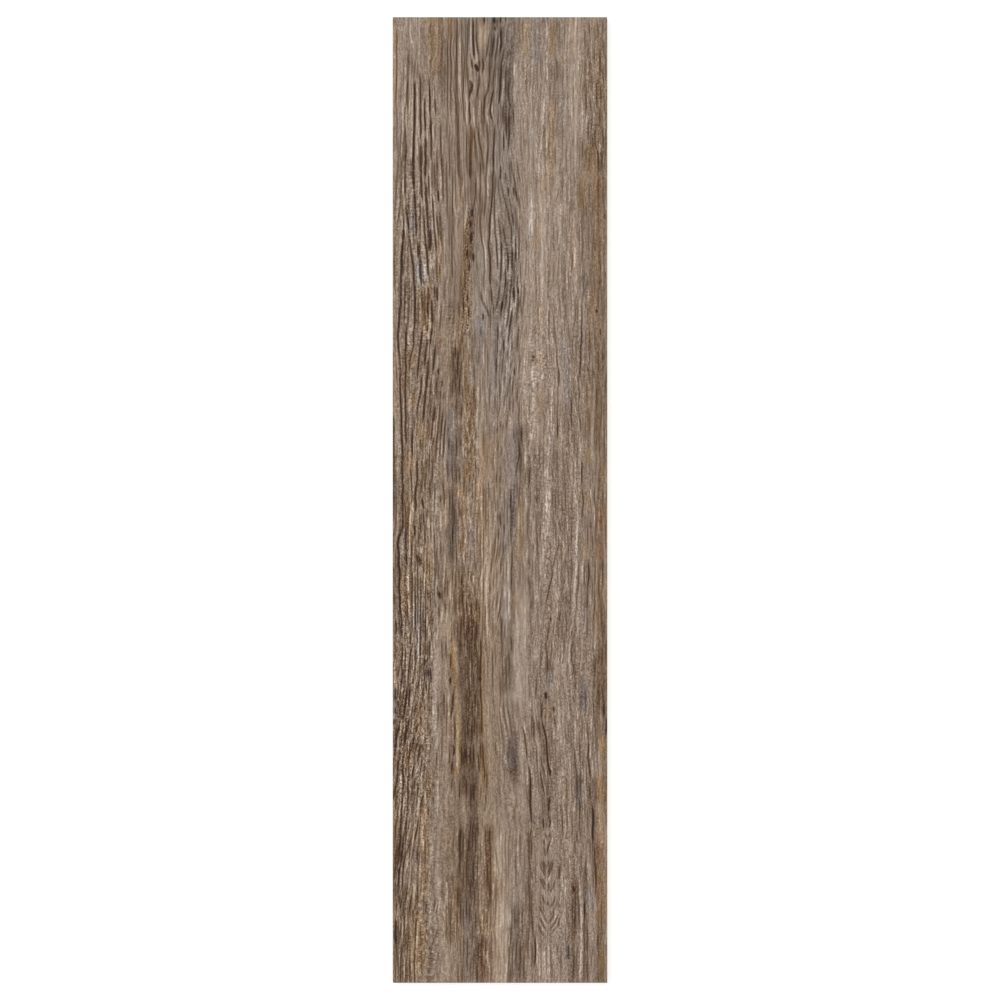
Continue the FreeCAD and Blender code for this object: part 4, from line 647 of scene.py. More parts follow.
LIGHT_LINES = [
    (1.2, 422, 98, 422.3, 124, 422.8, 150, 423.2, 166), (0.9, 410, 20, 410.2, 34, 412, 44, 413.6, 52),
    (0.9, 427, 96, 427.4, 114, 428, 134), (0.9, 432.2, 96, 432.8, 122, 433.2, 146),
    (0.8, 417.4, 110, 417.6, 140), (0.6, 474.9, 40, 475.8, 50, 477, 60), (1.3, 475.2, 58, 475.3, 65),
    (0.8, 504, 74, 503, 86, 502.4, 97, 502, 108), (0.8, 509.6, 56, 508.4, 64, 506.8, 71),
    (0.7, 493, 101, 492, 108, 491.9, 113), (0.7, 465.8, 92, 466.6, 110, 466.8, 130),
    (0.6, 496.6, 72, 496, 86, 495.4, 100), (0.9, 510.2, 108, 510.2, 118),
    (0.6, 471, 20, 470.6, 40, 470, 56), (0.6, 499, 30, 499.2, 42, 497.8, 52),
    (0.6, 488.4, 100, 487.4, 112, 488.4, 124), (0.6, 514.6, 60, 514.2, 80), (0.6, 501.6, 118, 501.8, 138),
    (0.7, 473.2, 102, 473.4, 116, 474.4, 128), (0.6, 479, 100, 479, 118, 480.8, 132),
    (0.6, 460, 30, 459.4, 60, 460.4, 100), (0.9, 467, 202, 465.6, 215, 464.2, 230),
    (0.6, 492.6, 208, 491.6, 226, 491, 250), (0.7, 503.6, 250, 503.6, 276), (0.9, 514, 234, 514.5, 254),
    (0.8, 517, 238, 517.1, 260), (0.7, 509.6, 258, 509.8, 282), (0.95, 515.9, 286, 515.9, 306),
    (1.05, 512.2, 286, 511.4, 302, 510, 318), (0.95, 507, 308, 505.2, 328), (0.8, 497.6, 266, 497.2, 284),
    (0.8, 506.9, 268, 506.8, 282), (0.7, 487.4, 160, 487.6, 190, 486.8, 216),
    (0.6, 482.2, 236, 484.8, 250, 485.4, 272), (0.6, 458, 206, 456.6, 220), (0.6, 463.6, 178, 462.4, 200),
    (0.85, 513.6, 302, 513.4, 316), (0.6, 504.4, 186, 505.8, 196),
    (0.6, 497.2, 226, 498.8, 244, 499.4, 266), (0.85, 519.4, 276, 519.6, 300),
    (1.1, 423.3, 156, 423, 176, 423.6, 191, 424.3, 205, 425.2, 217, 426.2, 229, 427.1, 240, 427.6, 256),
    (0.7, 402.3, 162, 402.2, 184, 401.8, 202), (0.6, 407.6, 164, 407.4, 186, 407, 204),
    (0.9, 429.9, 162, 430, 188, 430.8, 214), (0.9, 434.3, 194, 435, 210, 435.7, 226, 436.5, 242),
    (0.8, 440, 162, 440.2, 204), (1, 429.8, 286, 430.2, 304, 430, 322, 431, 334),
    (1.1, 438.7, 234, 440, 246, 439.4, 258, 440.8, 270), (0.9, 434, 248, 433, 258, 433.4, 272),
    (0.6, 405.4, 242, 406.6, 262, 406.2, 280), (0.7, 411.4, 234, 412.4, 246, 414, 258),
    (0.7, 424, 262, 424.4, 274, 424.2, 288), (0.5, 417.2, 262, 417.2, 280, 417.6, 292),
    (0.7, 418.4, 168, 418.6, 200, 419.6, 228), (0.8, 431.6, 214, 432.4, 230), (0.9, 430.2, 254, 431, 270),
    (0.6, 412, 290, 411.8, 312, 411.2, 330), (0.8, 439, 286, 438.8, 306, 438.2, 324),
    (0.6, 398, 180, 397.6, 204, 395.8, 224), (0.6, 405.8, 290, 405.6, 312, 404.4, 330),
    (0.9, 424, 325, 422.4, 345), (0.9, 428.8, 323, 428.4, 341), (0.9, 423.9, 373, 423, 397),
    (0.9, 433.7, 376, 433, 396), (0.9, 438, 403, 436.6, 420, 435.8, 437), (0.8, 434.3, 420, 433.6, 440),
    (0.8, 438.6, 440, 437.6, 462), (0.8, 441.8, 430, 441, 456), (0.8, 445, 446, 444, 468),
    (0.8, 428.6, 438, 428, 456), (0.8, 434.8, 468, 434.4, 486), (0.9, 437, 355, 436.6, 374),
    (0.6, 408.4, 330, 408.2, 350), (0.6, 403.2, 400, 403.4, 440), (0.6, 413.4, 440, 413.6, 468),
    (1.1, 428.4, 518, 428.2, 532), (0.9, 431.8, 518, 432, 550), (0.8, 433.4, 490, 432.8, 516),
    (0.8, 436, 486, 436.4, 520), (0.8, 440.4, 508, 440.2, 534), (0.8, 445.6, 500, 445.4, 530),
    (0.8, 433, 552, 432.6, 590), (0.8, 436.6, 580, 435.4, 596), (0.9, 443.8, 548, 444.2, 590),
    (0.8, 401.2, 540, 401.8, 556), (0.7, 404, 618, 403.2, 626), (0.6, 397.8, 606, 399, 612),
    (0.6, 401.8, 496, 400.4, 528), (1, 436.6, 622, 437.2, 636), (0.9, 441.6, 608, 440.6, 622),
    (0.6, 446.6, 608, 445.6, 626), (0.6, 410, 505, 409.6, 530), (0.6, 412.4, 480, 412.8, 520),
    (0.6, 413, 528, 412.4, 536), (0.9, 434.8, 632, 436, 642), (0.7, 404, 640, 403.4, 654, 402.9, 668),
    (0.7, 412.2, 692, 411, 704, 409, 716), (0.6, 405, 690, 403.6, 702, 402, 714),
    (0.6, 402.2, 685, 401.8, 694), (0.6, 407.4, 698, 406, 710, 404.2, 722),
    (0.7, 414.6, 710, 412.6, 722, 411, 732), (0.6, 401.6, 716, 399.6, 730, 398, 742),
    (0.7, 411.6, 724, 409.6, 736, 407.6, 748), (0.6, 404, 720, 402.6, 734),
    (0.7, 414, 722, 412, 736, 410.4, 748), (0.7, 399, 732, 397.6, 744, 396.6, 756),
    (0.8, 414.6, 730, 415, 738), (0.6, 419.6, 722, 418.4, 734, 417, 742), (0.7, 400.8, 744, 400.2, 750),
    (0.7, 413.8, 754, 412, 766, 410.4, 776), (0.6, 405.4, 752, 404, 764, 402.6, 772),
    (0.7, 410.4, 754, 408.6, 768), (0.7, 418.6, 762, 416.4, 774, 414.6, 784),
    (0.8, 426.4, 759, 427.8, 764), (0.6, 421.6, 768, 421, 784), (0.9, 432.8, 705, 433.6, 716),
    (0.8, 434.6, 724, 435.4, 732), (0.8, 430.8, 732, 432, 738), (0.6, 428, 738, 428.6, 752),
    (0.6, 438.4, 762, 437.6, 792), (0.6, 406.4, 776, 405.8, 790), (0.7, 400.4, 774, 400, 792),
    (0.6, 396, 690, 396.4, 706), (0.6, 399.2, 684, 398.4, 700), (0.6, 408.4, 778, 409, 792),
    (0.6, 394.8, 664, 394.4, 684), (0.7, 448.4, 690, 448.6, 720), (0.6, 452.2, 705, 452, 740),
    (0.8, 423, 728, 422.6, 742), (0.6, 425.4, 790, 425, 800), (0.7, 400.6, 794, 399.4, 806, 398.2, 817),
    (0.6, 404, 796, 402.8, 808, 401.6, 818), (0.7, 403.8, 816, 402.5, 827, 401, 838),
    (0.7, 398.8, 862, 397.3, 874, 396.3, 887), (0.7, 401.6, 864, 401, 876, 400, 889, 398.8, 900),
    (0.7, 408.1, 854, 406.6, 864, 405.2, 876, 403.8, 887),
    (0.8, 410.6, 860, 409.4, 872, 408.1, 886, 407.5, 895, 406.3, 906, 405, 919, 404.4, 930),
    (0.6, 412.5, 856, 411.3, 866), (0.8, 418.4, 796, 417.5, 811, 416.3, 824, 415, 831),
    (0.8, 415, 819, 413.8, 832, 411.9, 843), (1.2, 414.4, 880, 413.8, 898, 413.1, 912),
    (0.7, 401, 890, 400.3, 899), (0.7, 438, 792, 437.2, 806, 437.6, 816),
    (0.6, 430.6, 826, 429.8, 834, 428.6, 842), (0.8, 411.9, 914, 410, 924, 410.6, 938),
    (0.8, 416.9, 930, 416.4, 950), (0.8, 430.8, 904, 429.2, 914), (0.7, 437.4, 900, 434.6, 912),
    (0.7, 439, 903, 437.4, 911), (0.7, 440.4, 897, 439.2, 904), (0.6, 423, 820, 422.4, 836, 423.2, 850),
    (0.6, 425.8, 806, 425.2, 824), (0.6, 410.6, 820, 409, 834), (0.6, 408, 828, 406.8, 840),
    (0.6, 398.6, 838, 397, 850), (0.6, 404.6, 844, 403, 856), (0.6, 396.8, 806, 395.6, 818),
    (0.6, 400.6, 918, 399.4, 932), (0.6, 402.8, 924, 401.4, 944), (0.6, 397.4, 900, 397, 916),
    (0.7, 405.8, 918, 405, 934), (0.6, 422, 884, 421.6, 900), (0.7, 426.4, 934, 428.4, 941),
    (0.7, 430, 929, 431.6, 936), (0.7, 434.6, 924, 436, 930), (0.7, 425.4, 946, 427.2, 953),
    (0.7, 431.6, 948, 433.6, 955), (0.7, 437.4, 938, 436, 946), (0.7, 433, 958, 435.4, 966),
    (0.7, 438, 950, 439.4, 958), (0.6, 399.4, 948, 399.2, 980), (0.6, 403.8, 950, 403.6, 983),
    (0.6, 411.4, 945, 411.2, 975), (0.6, 418.4, 952, 418.2, 983), (0.6, 446.6, 880, 447, 910),
    (0.6, 443.6, 910, 443.8, 945), (0.6, 452.8, 890, 452.6, 930), (0.7, 432.6, 845, 430.8, 853),
    (0.4, 477.6, 640, 477.4, 660), (0.4, 466.2, 640, 466, 660), (0.4, 475.4, 656, 475.2, 676),
    (0.4, 470.4, 664, 470.4, 684), (0.4, 473.8, 694, 473.6, 708), (0.4, 476.4, 706, 476.2, 722),
    (0.4, 469.6, 712, 469.8, 732), (0.4, 466.8, 674, 466.6, 690), (0.5, 504, 640, 504.2, 676),
    (0.6, 500.4, 704, 502.3, 719, 505.6, 732, 507.4, 744), (0.7, 478.5, 806, 478.7, 818),
    (0.6, 498.4, 744, 503.5, 756, 507, 762), (0.6, 495.8, 740, 500, 754), (0.6, 467.8, 746, 467.8, 764),
    (0.6, 477, 756, 476.8, 772), (0.5, 505, 756, 508, 770), (0.6, 503.2, 762, 503.8, 776),
    (0.6, 457, 746, 457, 772),
    (1.02, 570.6, 638, 570, 652, 569.4, 661, 570.6, 674, 571.3, 686, 571.9, 698),
    (0.59, 550.6, 678, 550.8, 688), (0.59, 542.5, 760, 545.6, 771, 547.6, 779),
    (0.59, 541.2, 770, 544, 784, 546.4, 797), (0.36, 562.6, 645, 562.4, 662, 562.8, 680),
    (0.36, 559, 650, 559, 666), (0.36, 565.6, 735, 567, 752), (0.68, 578.6, 711, 578.4, 719),
    (0.59, 524, 720, 525.4, 734), (0.36, 528.6, 742, 529, 760), (0.36, 522.6, 738, 523.8, 758),
    (0.36, 532.6, 732, 533, 746), (0.36, 536, 730, 536.8, 748), (0.36, 531.4, 768, 531.8, 784),
    (0.36, 533, 786, 533.6, 800), (0.36, 537, 784, 537.6, 800), (0.36, 527.4, 766, 527.6, 782),
    (0.36, 591.4, 716, 592, 740), (0.59, 590.2, 744, 590.6, 760), (0.36, 595, 742, 596, 758),
    (0.36, 603, 724, 603.4, 744), (0.36, 590.4, 650, 588.6, 662), (0.36, 596.4, 640, 592.6, 656),
    (0.36, 599.2, 664, 598.2, 680), (0.36, 580.8, 720, 580.6, 738), (0.36, 585.2, 722, 585.4, 742),
    (0.36, 578, 750, 578.4, 768), (0.36, 570.4, 752, 570.4, 776), (0.36, 558.2, 722, 558.4, 744),
    (0.36, 553.8, 728, 554.2, 744), (0.36, 551.6, 760, 552, 774), (0.36, 563, 760, 563.4, 784),
    (0.36, 530.6, 700, 530.8, 716), (0.36, 568.4, 690, 568.6, 714), (0.3, 582.6, 764, 583, 790),
    (0.36, 593, 760, 593.6, 782), (0.3, 575.4, 720, 575.2, 742),
    (0.35, 562.1, 874, 562.9, 885, 561.4, 894, 560, 905, 559.3, 912, 558.6, 918),
    (0.8, 580, 880, 580.7, 896, 582.1, 914, 581.4, 928, 581.6, 942, 580.7, 959, 580, 983),
    (0.35, 537.6, 860, 540.6, 870, 545, 880, 548.4, 888), (0.35, 540.8, 902, 545.6, 912, 548.4, 914),
    (0.35, 539.8, 910, 545, 921, 548, 926), (0.35, 559.2, 906, 556.4, 916, 550, 926),
    (0.35, 538.6, 918, 542.4, 928, 547, 934), (0.35, 560, 921, 555, 930, 550, 934),
    (0.35, 550.8, 836, 548.6, 844), (0.35, 545.8, 836, 547.4, 844), (0.35, 553, 838, 549.6, 850),
    (0.64, 537.4, 940, 537.6, 968), (0.35, 540, 948, 539.8, 975), (0.35, 544.4, 944, 544.6, 970),
    (0.35, 549, 946, 549.2, 976), (0.35, 553.4, 945, 553.6, 970), (0.35, 537.6, 800, 537.8, 830),
    (0.35, 574.4, 796, 574.8, 816), (0.35, 583.6, 796, 583.8, 812), (0.35, 599.6, 800, 600.4, 830),
    (0.35, 588.4, 840, 588.2, 870), (0.35, 570.4, 845, 570.2, 865), (0.35, 566, 880, 565.6, 896),
    (0.35, 587.4, 890, 587.6, 915), (0.35, 593.4, 920, 593.2, 950), (0.35, 583, 966, 582.6, 983),
    (0.35, 574, 904, 574.2, 930),
    (0.64, 546.3, 17, 546.9, 36, 546.5, 49, 546.9, 61, 547.5, 74, 546.9, 84),
    (0.96, 546.4, 82, 545, 99, 543.8, 109, 543.8, 118, 542.5, 129),
    (0.72, 542.5, 128, 542.3, 138, 540.6, 151, 539.4, 166, 538.8, 176), (0.45, 578.4, 40, 578.8, 73),
    (0.3, 551.4, 79, 551.5, 84), (0.3, 554.4, 80, 554.6, 87), (0.45, 532, 129, 532.4, 136),
    (0.3, 535.6, 104, 535.3, 118), (0.3, 569.4, 17, 568.8, 40, 568.2, 54), (0.3, 602.4, 60, 602.2, 76),
    (0.3, 588.2, 66, 587.8, 80), (0.3, 594.4, 84, 594.2, 104), (0.3, 599, 96, 598.8, 116),
    (0.3, 590.2, 80, 590, 94), (0.3, 586.8, 116, 586.8, 134), (0.3, 600, 140, 600.4, 160),
    (0.3, 594.4, 114, 594, 130), (0.3, 605, 118, 604.8, 134), (0.3, 582.8, 106, 582.6, 130),
    (0.3, 598.4, 60, 598.2, 76), (0.3, 551.4, 100, 551.2, 118), (0.3, 546.8, 132, 546.4, 150),
    (0.3, 551.2, 140, 551, 160), (0.3, 546.8, 156, 546.4, 174), (0.3, 525.4, 60, 525.6, 86),
    (0.3, 528.6, 84, 528.4, 104), (0.3, 520.8, 78, 520.4, 90), (0.3, 526.2, 20, 526, 36),
    (0.3, 524.6, 104, 524.4, 130), (0.3, 561, 96, 560.8, 110), (0.3, 574.4, 60, 574.8, 110),
    (0.3, 572, 90, 572.4, 130), (0.3, 541.4, 40, 541, 52), (0.3, 537.4, 28, 537.2, 44),
    (0.3, 536.8, 138, 536.6, 160), (0.72, 574.8, 238, 575, 254, 574.8, 267),
    (0.64, 530.6, 193, 531.9, 210, 529.8, 226, 530, 238), (0.3, 535.4, 208, 535.6, 218),
    (0.45, 580.6, 218, 581, 236, 581.3, 254), (0.45, 582, 262, 581.9, 270, 580.2, 282),
    (0.3, 558.2, 240, 557.8, 250), (0.3, 555.2, 276, 554.8, 288), (0.3, 560.6, 274, 560.2, 288),
    (0.3, 567.2, 272, 567.6, 288), (0.3, 551.4, 300, 554.4, 314), (0.3, 544.6, 300, 546.2, 312),
    (0.3, 574, 205, 573.8, 232), (0.3, 570.8, 256, 570.4, 280), (0.3, 576.6, 270, 576.2, 292),
    (0.3, 545.4, 174, 545.8, 186), (0.3, 541.6, 178, 541.4, 192), (0.45, 532.4, 222, 531.6, 240),
    (0.3, 527, 244, 527.2, 262), (0.3, 530.4, 262, 530.2, 290), (0.3, 526, 280, 526.4, 300),
    (0.3, 569.6, 180, 569.8, 200), (0.3, 565, 196, 565, 216), (0.3, 561, 204, 560.8, 222),
    (0.3, 565, 236, 565, 256), (0.3, 569, 236, 569, 262), (0.3, 547.8, 196, 547.6, 214),
    (0.3, 556, 206, 555.6, 220), (0.3, 573, 290, 573.2, 316), (0.3, 580, 296, 580.2, 324),
    (0.3, 563, 310, 563.2, 330), (0.3, 539.8, 306, 540, 326), (0.3, 548.8, 300, 549, 316),
    (0.3, 534.4, 256, 534, 276), (0.3, 589, 290, 589.2, 310), (0.3, 603, 262, 603.2, 282),
    (0.3, 595.4, 252, 595.6, 270), (0.3, 542.6, 280, 542.8, 300),
    (0.6, 525, 356, 524.4, 363, 525, 375, 526.9, 383),
    (0.4, 532.5, 364, 531.9, 371, 533.1, 381, 533.1, 396, 532.5, 409, 534.2, 420, 533.1, 430, 531.9,
     439, 530.6, 446), (0.5, 550, 376, 551.9, 386, 552.5, 396, 551.9, 409, 551.3, 423),
    (0.4, 549.4, 340, 551.3, 347), (0.4, 542.5, 330, 543.8, 340), (0.7, 549.6, 436, 550, 446, 547.5, 457),
    (0.6, 546.9, 459, 547, 467, 548.1, 475, 548, 486), (0.4, 564.4, 337, 565, 354),
    (0.5, 567.5, 342, 570, 359, 570.6, 371, 570.6, 386), (0.4, 575, 370, 576.3, 376, 577.5, 386),
    (0.4, 574.4, 398, 576.3, 411, 576.9, 423), (0.7, 581.2, 441, 581, 452, 580.6, 464, 580, 486),
    (0.5, 547, 372, 540, 376, 531, 380), (0.5, 545.6, 377, 538, 381, 532, 384),
    (0.4, 528.4, 378, 531.6, 382), (0.4, 546.6, 330, 549, 345), (0.4, 550.6, 328, 553.4, 344),
    (0.4, 545, 328, 538.6, 331, 534, 334), (0.4, 543, 334, 537, 336, 533.6, 340),
    (0.4, 534, 350, 533.6, 360), (0.4, 527.4, 398, 528, 420), (0.4, 530.6, 424, 530, 440),
    (0.4, 540.6, 426, 536, 430, 534.8, 436), (0.4, 524.4, 372, 523.6, 392), (0.4, 548.4, 406, 548.8, 430),
    (0.4, 553.8, 424, 553.6, 440), (0.4, 560, 430, 560.4, 446), (0.4, 566.4, 444, 569.6, 458),
    (0.4, 563.4, 452, 567, 468), (0.4, 572.4, 440, 573.2, 462), (0.4, 583.4, 386, 583.6, 404),
    (0.4, 588.8, 350, 589, 366), (0.4, 604, 382, 604.2, 402), (0.4, 576, 452, 576, 476),
    (0.4, 525.8, 444, 525.4, 464), (0.4, 517.4, 452, 516.8, 462), (0.55, 518.4, 360, 516.8, 378),
    (0.5, 522.6, 400, 522.8, 412), (0.4, 538, 446, 537.6, 460), (0.5, 545, 464, 545.4, 484),
    (0.6, 575, 480, 574.8, 492, 576.3, 499, 578.1, 509, 577.8, 522),
    (1, 577.8, 516, 577.7, 526, 576.9, 539, 576.5, 558),
    (0.8, 576.5, 555, 576.3, 569, 575, 582, 574.8, 596, 573.8, 609, 573.1, 621, 571.3, 631, 570.6, 642),
    (0.6, 525, 482, 525.6, 495, 526.9, 506, 527.5, 513), (0.6, 546.3, 494, 546.4, 504, 546.2, 516),
    (0.6, 545.6, 526, 545.4, 536, 545, 548), (0.5, 544, 548, 543.4, 562), (0.4, 549, 480, 548.6, 500),
    (0.4, 549.6, 504, 549.2, 526), (0.4, 543.6, 514, 543.4, 536), (0.4, 547.8, 520, 547.4, 540),
    (0.5, 549.4, 534, 550, 546, 548.1, 556, 545.6, 571, 544.4, 584), (0.5, 541.6, 556, 540.6, 572),
    (0.4, 540.8, 574, 539.4, 592), (0.4, 538.4, 596, 537.4, 606), (0.4, 600, 496, 599.4, 514, 599.8, 532),
    (0.4, 525.6, 556, 525.8, 568), (0.4, 527.4, 549, 526.4, 560), (0.4, 558.6, 588, 560.4, 600),
    (0.4, 556.4, 590, 557.8, 601), (0.4, 550.6, 588, 553.6, 600), (0.4, 553.6, 566, 553.4, 574),
    (0.4, 547.4, 600, 550, 612), (0.4, 562.4, 604, 561.4, 616), (0.4, 558, 606, 556.6, 620),
    (0.4, 566, 620, 565.4, 634), (0.4, 530.6, 508, 530.6, 530), (0.4, 534.4, 520, 534.8, 540),
    (0.4, 530.4, 534, 530.8, 552), (0.4, 535, 544, 535.4, 562), (0.4, 555, 506, 555.2, 520),
    (0.4, 560.6, 504, 560.8, 520), (0.4, 567.4, 514, 567.8, 534), (0.4, 563.6, 534, 564, 556),
    (0.4, 559.8, 556, 560, 580), (0.4, 566.8, 574, 567.2, 592), (0.4, 580.4, 486, 580.4, 500),
    (0.4, 582.4, 560, 582.4, 586), (0.4, 586, 570, 586, 592), (0.4, 590.8, 590, 591, 612),
    (0.4, 597, 560, 597.2, 580), (0.4, 601, 566, 601.4, 590), (0.4, 590.4, 486, 590.6, 500),
    (0.5, 594.4, 500, 594.6, 524), (0.4, 604.4, 566, 604.6, 574), (0.4, 535.6, 600, 535.4, 620),
    (0.4, 541, 606, 540.8, 628), (0.4, 550.4, 490, 550.4, 508),
    (1.05, 507.2, 324, 506.6, 340, 505.8, 352), (0.55, 500.6, 326, 500, 352),
    (0.55, 511, 340, 509.8, 356, 508.4, 372), (0.55, 513.8, 326, 513.6, 340), (0.4, 499, 352, 498.6, 374),
    (0.55, 507, 362, 506.6, 384), (0.55, 512, 372, 511, 386), (0.55, 503, 376, 501.8, 398),
    (0.4, 497.6, 384, 496.8, 404), (0.3, 491.6, 386, 491.4, 404), (0.3, 487.4, 386, 487, 402),
    (0.55, 506.4, 398, 505, 412), (0.55, 501.8, 402, 500.4, 418), (0.55, 510.6, 416, 510.2, 432),
    (0.5, 477.8, 382, 477.8, 404), (0.8, 477.8, 404, 477.4, 418, 477.4, 440),
    (0.9, 477.4, 436, 477.6, 454, 477.2, 470), (0.5, 477.2, 470, 477.4, 484),
    (0.3, 481.6, 446, 481.6, 484), (0.4, 469.8, 360, 470, 372), (0.4, 468.8, 404, 468.6, 418),
    (0.4, 472.2, 420, 472.2, 434), (0.4, 467.4, 418, 467.2, 432), (0.4, 468.4, 436, 468.6, 448),
    (0.4, 473.4, 432, 473.8, 440), (0.4, 465.6, 436, 465.4, 460), (0.4, 470.4, 458, 470.4, 466),
    (0.4, 465.2, 404, 465.2, 424), (0.4, 455.4, 328, 455.4, 342), (0.4, 467.8, 332, 468, 350),
    (0.4, 485.4, 408, 485.2, 430), (0.4, 483.4, 344, 483.2, 366), (0.4, 493.4, 420, 493.2, 440),
    (0.4, 458.2, 412, 458, 428), (0.4, 453.6, 412, 453.4, 430), (0.4, 474, 462, 474.2, 470),
    (0.4, 495.4, 446, 495.2, 464), (0.4, 463.4, 440, 463.4, 456),
    (0.7, 481.6, 486, 481.6, 520, 481.8, 560), (0.5, 481.8, 560, 481.6, 602),
    (0.6, 486.6, 534, 486.8, 560), (1.1, 486.8, 552, 486.4, 578, 486, 592, 486.6, 610),
    (0.9, 486.6, 606, 486.4, 622, 488, 636, 488.4, 646), (0.6, 468, 492, 468, 514),
    (0.5, 478.6, 480, 478.4, 500), (0.5, 476.8, 486, 476.6, 520), (0.4, 473.4, 482, 473.4, 490),
    (0.4, 457.8, 484, 457.8, 498), (0.4, 463.6, 496, 463.6, 520), (0.5, 458, 540, 458, 560),
    (0.4, 466, 528, 466, 548), (0.4, 470, 516, 470, 530), (0.4, 478.4, 524, 478.2, 552),
    (0.4, 463.6, 552, 463.4, 562), (0.4, 470, 568, 469.6, 578), (0.4, 474, 574, 473.6, 582),
    (0.4, 463.4, 580, 463.2, 590), (0.4, 467.4, 592, 467.4, 602), (0.4, 472, 588, 471.8, 598),
    (0.4, 477, 582, 476.8, 592), (0.4, 479, 592, 479, 602), (0.4, 469.4, 604, 469.2, 616),
    (0.4, 474.4, 606, 474.2, 618), (0.4, 470.6, 622, 470.6, 634), (0.5, 449.8, 580, 450.4, 600),
    (0.5, 452.4, 594, 452.4, 608), (0.6, 450.2, 620, 450, 641), (0.4, 455, 560, 455, 574),
    (0.4, 490.4, 540, 489.8, 562), (0.4, 492.6, 520, 491.4, 540), (0.5, 497.2, 540, 495.8, 558),
    (0.4, 500.6, 530, 499.8, 544), (0.4, 502.2, 528, 501.4, 542), (0.5, 502.8, 514, 502.2, 528),
    (0.4, 495.4, 508, 494.8, 526), (0.4, 498.4, 558, 497.6, 572), (0.4, 502.4, 562, 501.6, 584),
    (0.4, 498.4, 576, 497.4, 590), (0.4, 505.4, 576, 505, 600), (0.4, 499.4, 600, 498, 612),
    (0.4, 502.6, 604, 501.8, 620), (0.4, 494.4, 602, 493.8, 622), (0.4, 508.4, 556, 508.2, 580),
    (0.4, 506.4, 610, 506.2, 636), (0.4, 502, 490, 501.6, 504), (0.5, 496.4, 490, 496.2, 504),
    (0.4, 506, 486, 505.8, 500), (0.4, 509.2, 590, 509, 620), (0.5, 482.4, 826, 482.2, 842),
    (0.4, 476.6, 850, 476.6, 868), (0.4, 476.2, 870, 476, 882), (0.4, 478.8, 866, 478.6, 884),
    (0.4, 479, 830, 479, 848), (0.4, 465, 838, 464.8, 860), (0.4, 482.8, 890, 482.6, 900),
    (0.4, 472, 900, 471.8, 916), (0.4, 482.6, 918, 482.4, 930), (0.4, 486, 920, 485.8, 934),
    (0.4, 478.4, 926, 478.4, 940), (0.4, 479.4, 950, 480.6, 956, 481.9, 961), (0.4, 484, 944, 484, 958),
    (0.4, 487.4, 950, 487.4, 964), (0.4, 455.4, 920, 455.2, 950), (0.4, 458.8, 908, 458.6, 930),
    (0.4, 474, 936, 474, 950), (0.4, 492.8, 880, 492.8, 905), (0.4, 497.2, 866, 497.2, 884),
    (0.5, 510.6, 905, 510.8, 926), (0.5, 509.6, 930, 508.8, 948),
    (0.7, 507.2, 958, 506.6, 970, 505.8, 984), (0.4, 500.6, 900, 500.6, 930), (0.3, 504, 868, 504, 890),
    (0.3, 501, 830, 501, 850), (0.3, 514, 868, 514, 890), (0.3, 518, 846, 518, 874),
    (0.4, 520.6, 910, 520.4, 936), (0.4, 514.4, 950, 513.4, 975), (0.4, 522, 920, 521.8, 944),
    (0.3, 525.8, 954, 525.6, 980), (0.5, 540.4, 903, 544, 914, 547.4, 918),
    (0.5, 539.2, 911, 543.2, 920, 547, 926), (0.5, 538.6, 920, 542.4, 929, 546, 934),
    (0.5, 557, 902, 554.6, 911, 550.6, 916), (0.5, 558.4, 907, 556, 917, 551.4, 924),
    (0.5, 559.8, 914, 556.6, 924, 552, 930), (0.4, 540.6, 881, 544, 892, 547.4, 899),
    (0.4, 554, 886, 552, 895, 549.6, 899), (0.4, 540.4, 864, 543, 875, 546, 881),
    (0.4, 552.4, 868, 550, 877, 548, 882), (0.4, 547, 830, 548.4, 838),
    (0.4, 552.6, 833, 549.6, 843, 547, 851), (0.4, 543.4, 838, 545, 846), (0.8, 409.3, 516, 409.3, 562),
    (0.9, 412.4, 530, 412.5, 537), (0.7, 412.9, 549, 412.8, 566), (0.8, 417.4, 546, 417.5, 563),
    (0.8, 420.6, 544, 420.6, 555), (0.5, 413.3, 568, 413.3, 600, 413.1, 630),
    (0.5, 416.1, 578, 416.1, 610, 416, 650), (0.5, 418.8, 582, 418.8, 610, 418.6, 640),
    (0.5, 421.7, 582, 421.4, 610, 421.2, 642), (0.5, 423.9, 602, 423.8, 632),
    (0.6, 409.2, 596, 409.1, 622), (0.6, 406, 622, 406.2, 631), (0.7, 408.9, 632, 405.6, 643, 402.6, 655),
    (0.8, 429.3, 622, 429.3, 640), (0.7, 426.4, 612, 426.4, 628), (0.5, 418.2, 640, 418, 664),
    (0.5, 415.4, 642, 415.4, 656), (0.5, 421.2, 646, 421, 664), (1.1, 425.6, 655, 425.6, 661),
    (0.5, 413.4, 654, 413, 670), (0.5, 411, 668, 410.6, 684), (0.6, 414.6, 682, 414.4, 689),
    (0.5, 416.4, 672, 416, 684), (0.7, 420.4, 680, 420.2, 694), (0.5, 406.6, 656, 406, 680),
    (0.7, 422.6, 676, 422.4, 686), (0.7, 427.2, 680, 427, 694), (0.7, 430.8, 644, 430.8, 660),
    (0.5, 424.2, 568, 424.2, 590), (0.5, 416, 566, 416, 576), (0.5, 407.6, 574, 407.8, 598),
    (0.7, 425, 688, 424.8, 700), (0.5, 412.8, 692, 412.4, 704),
]
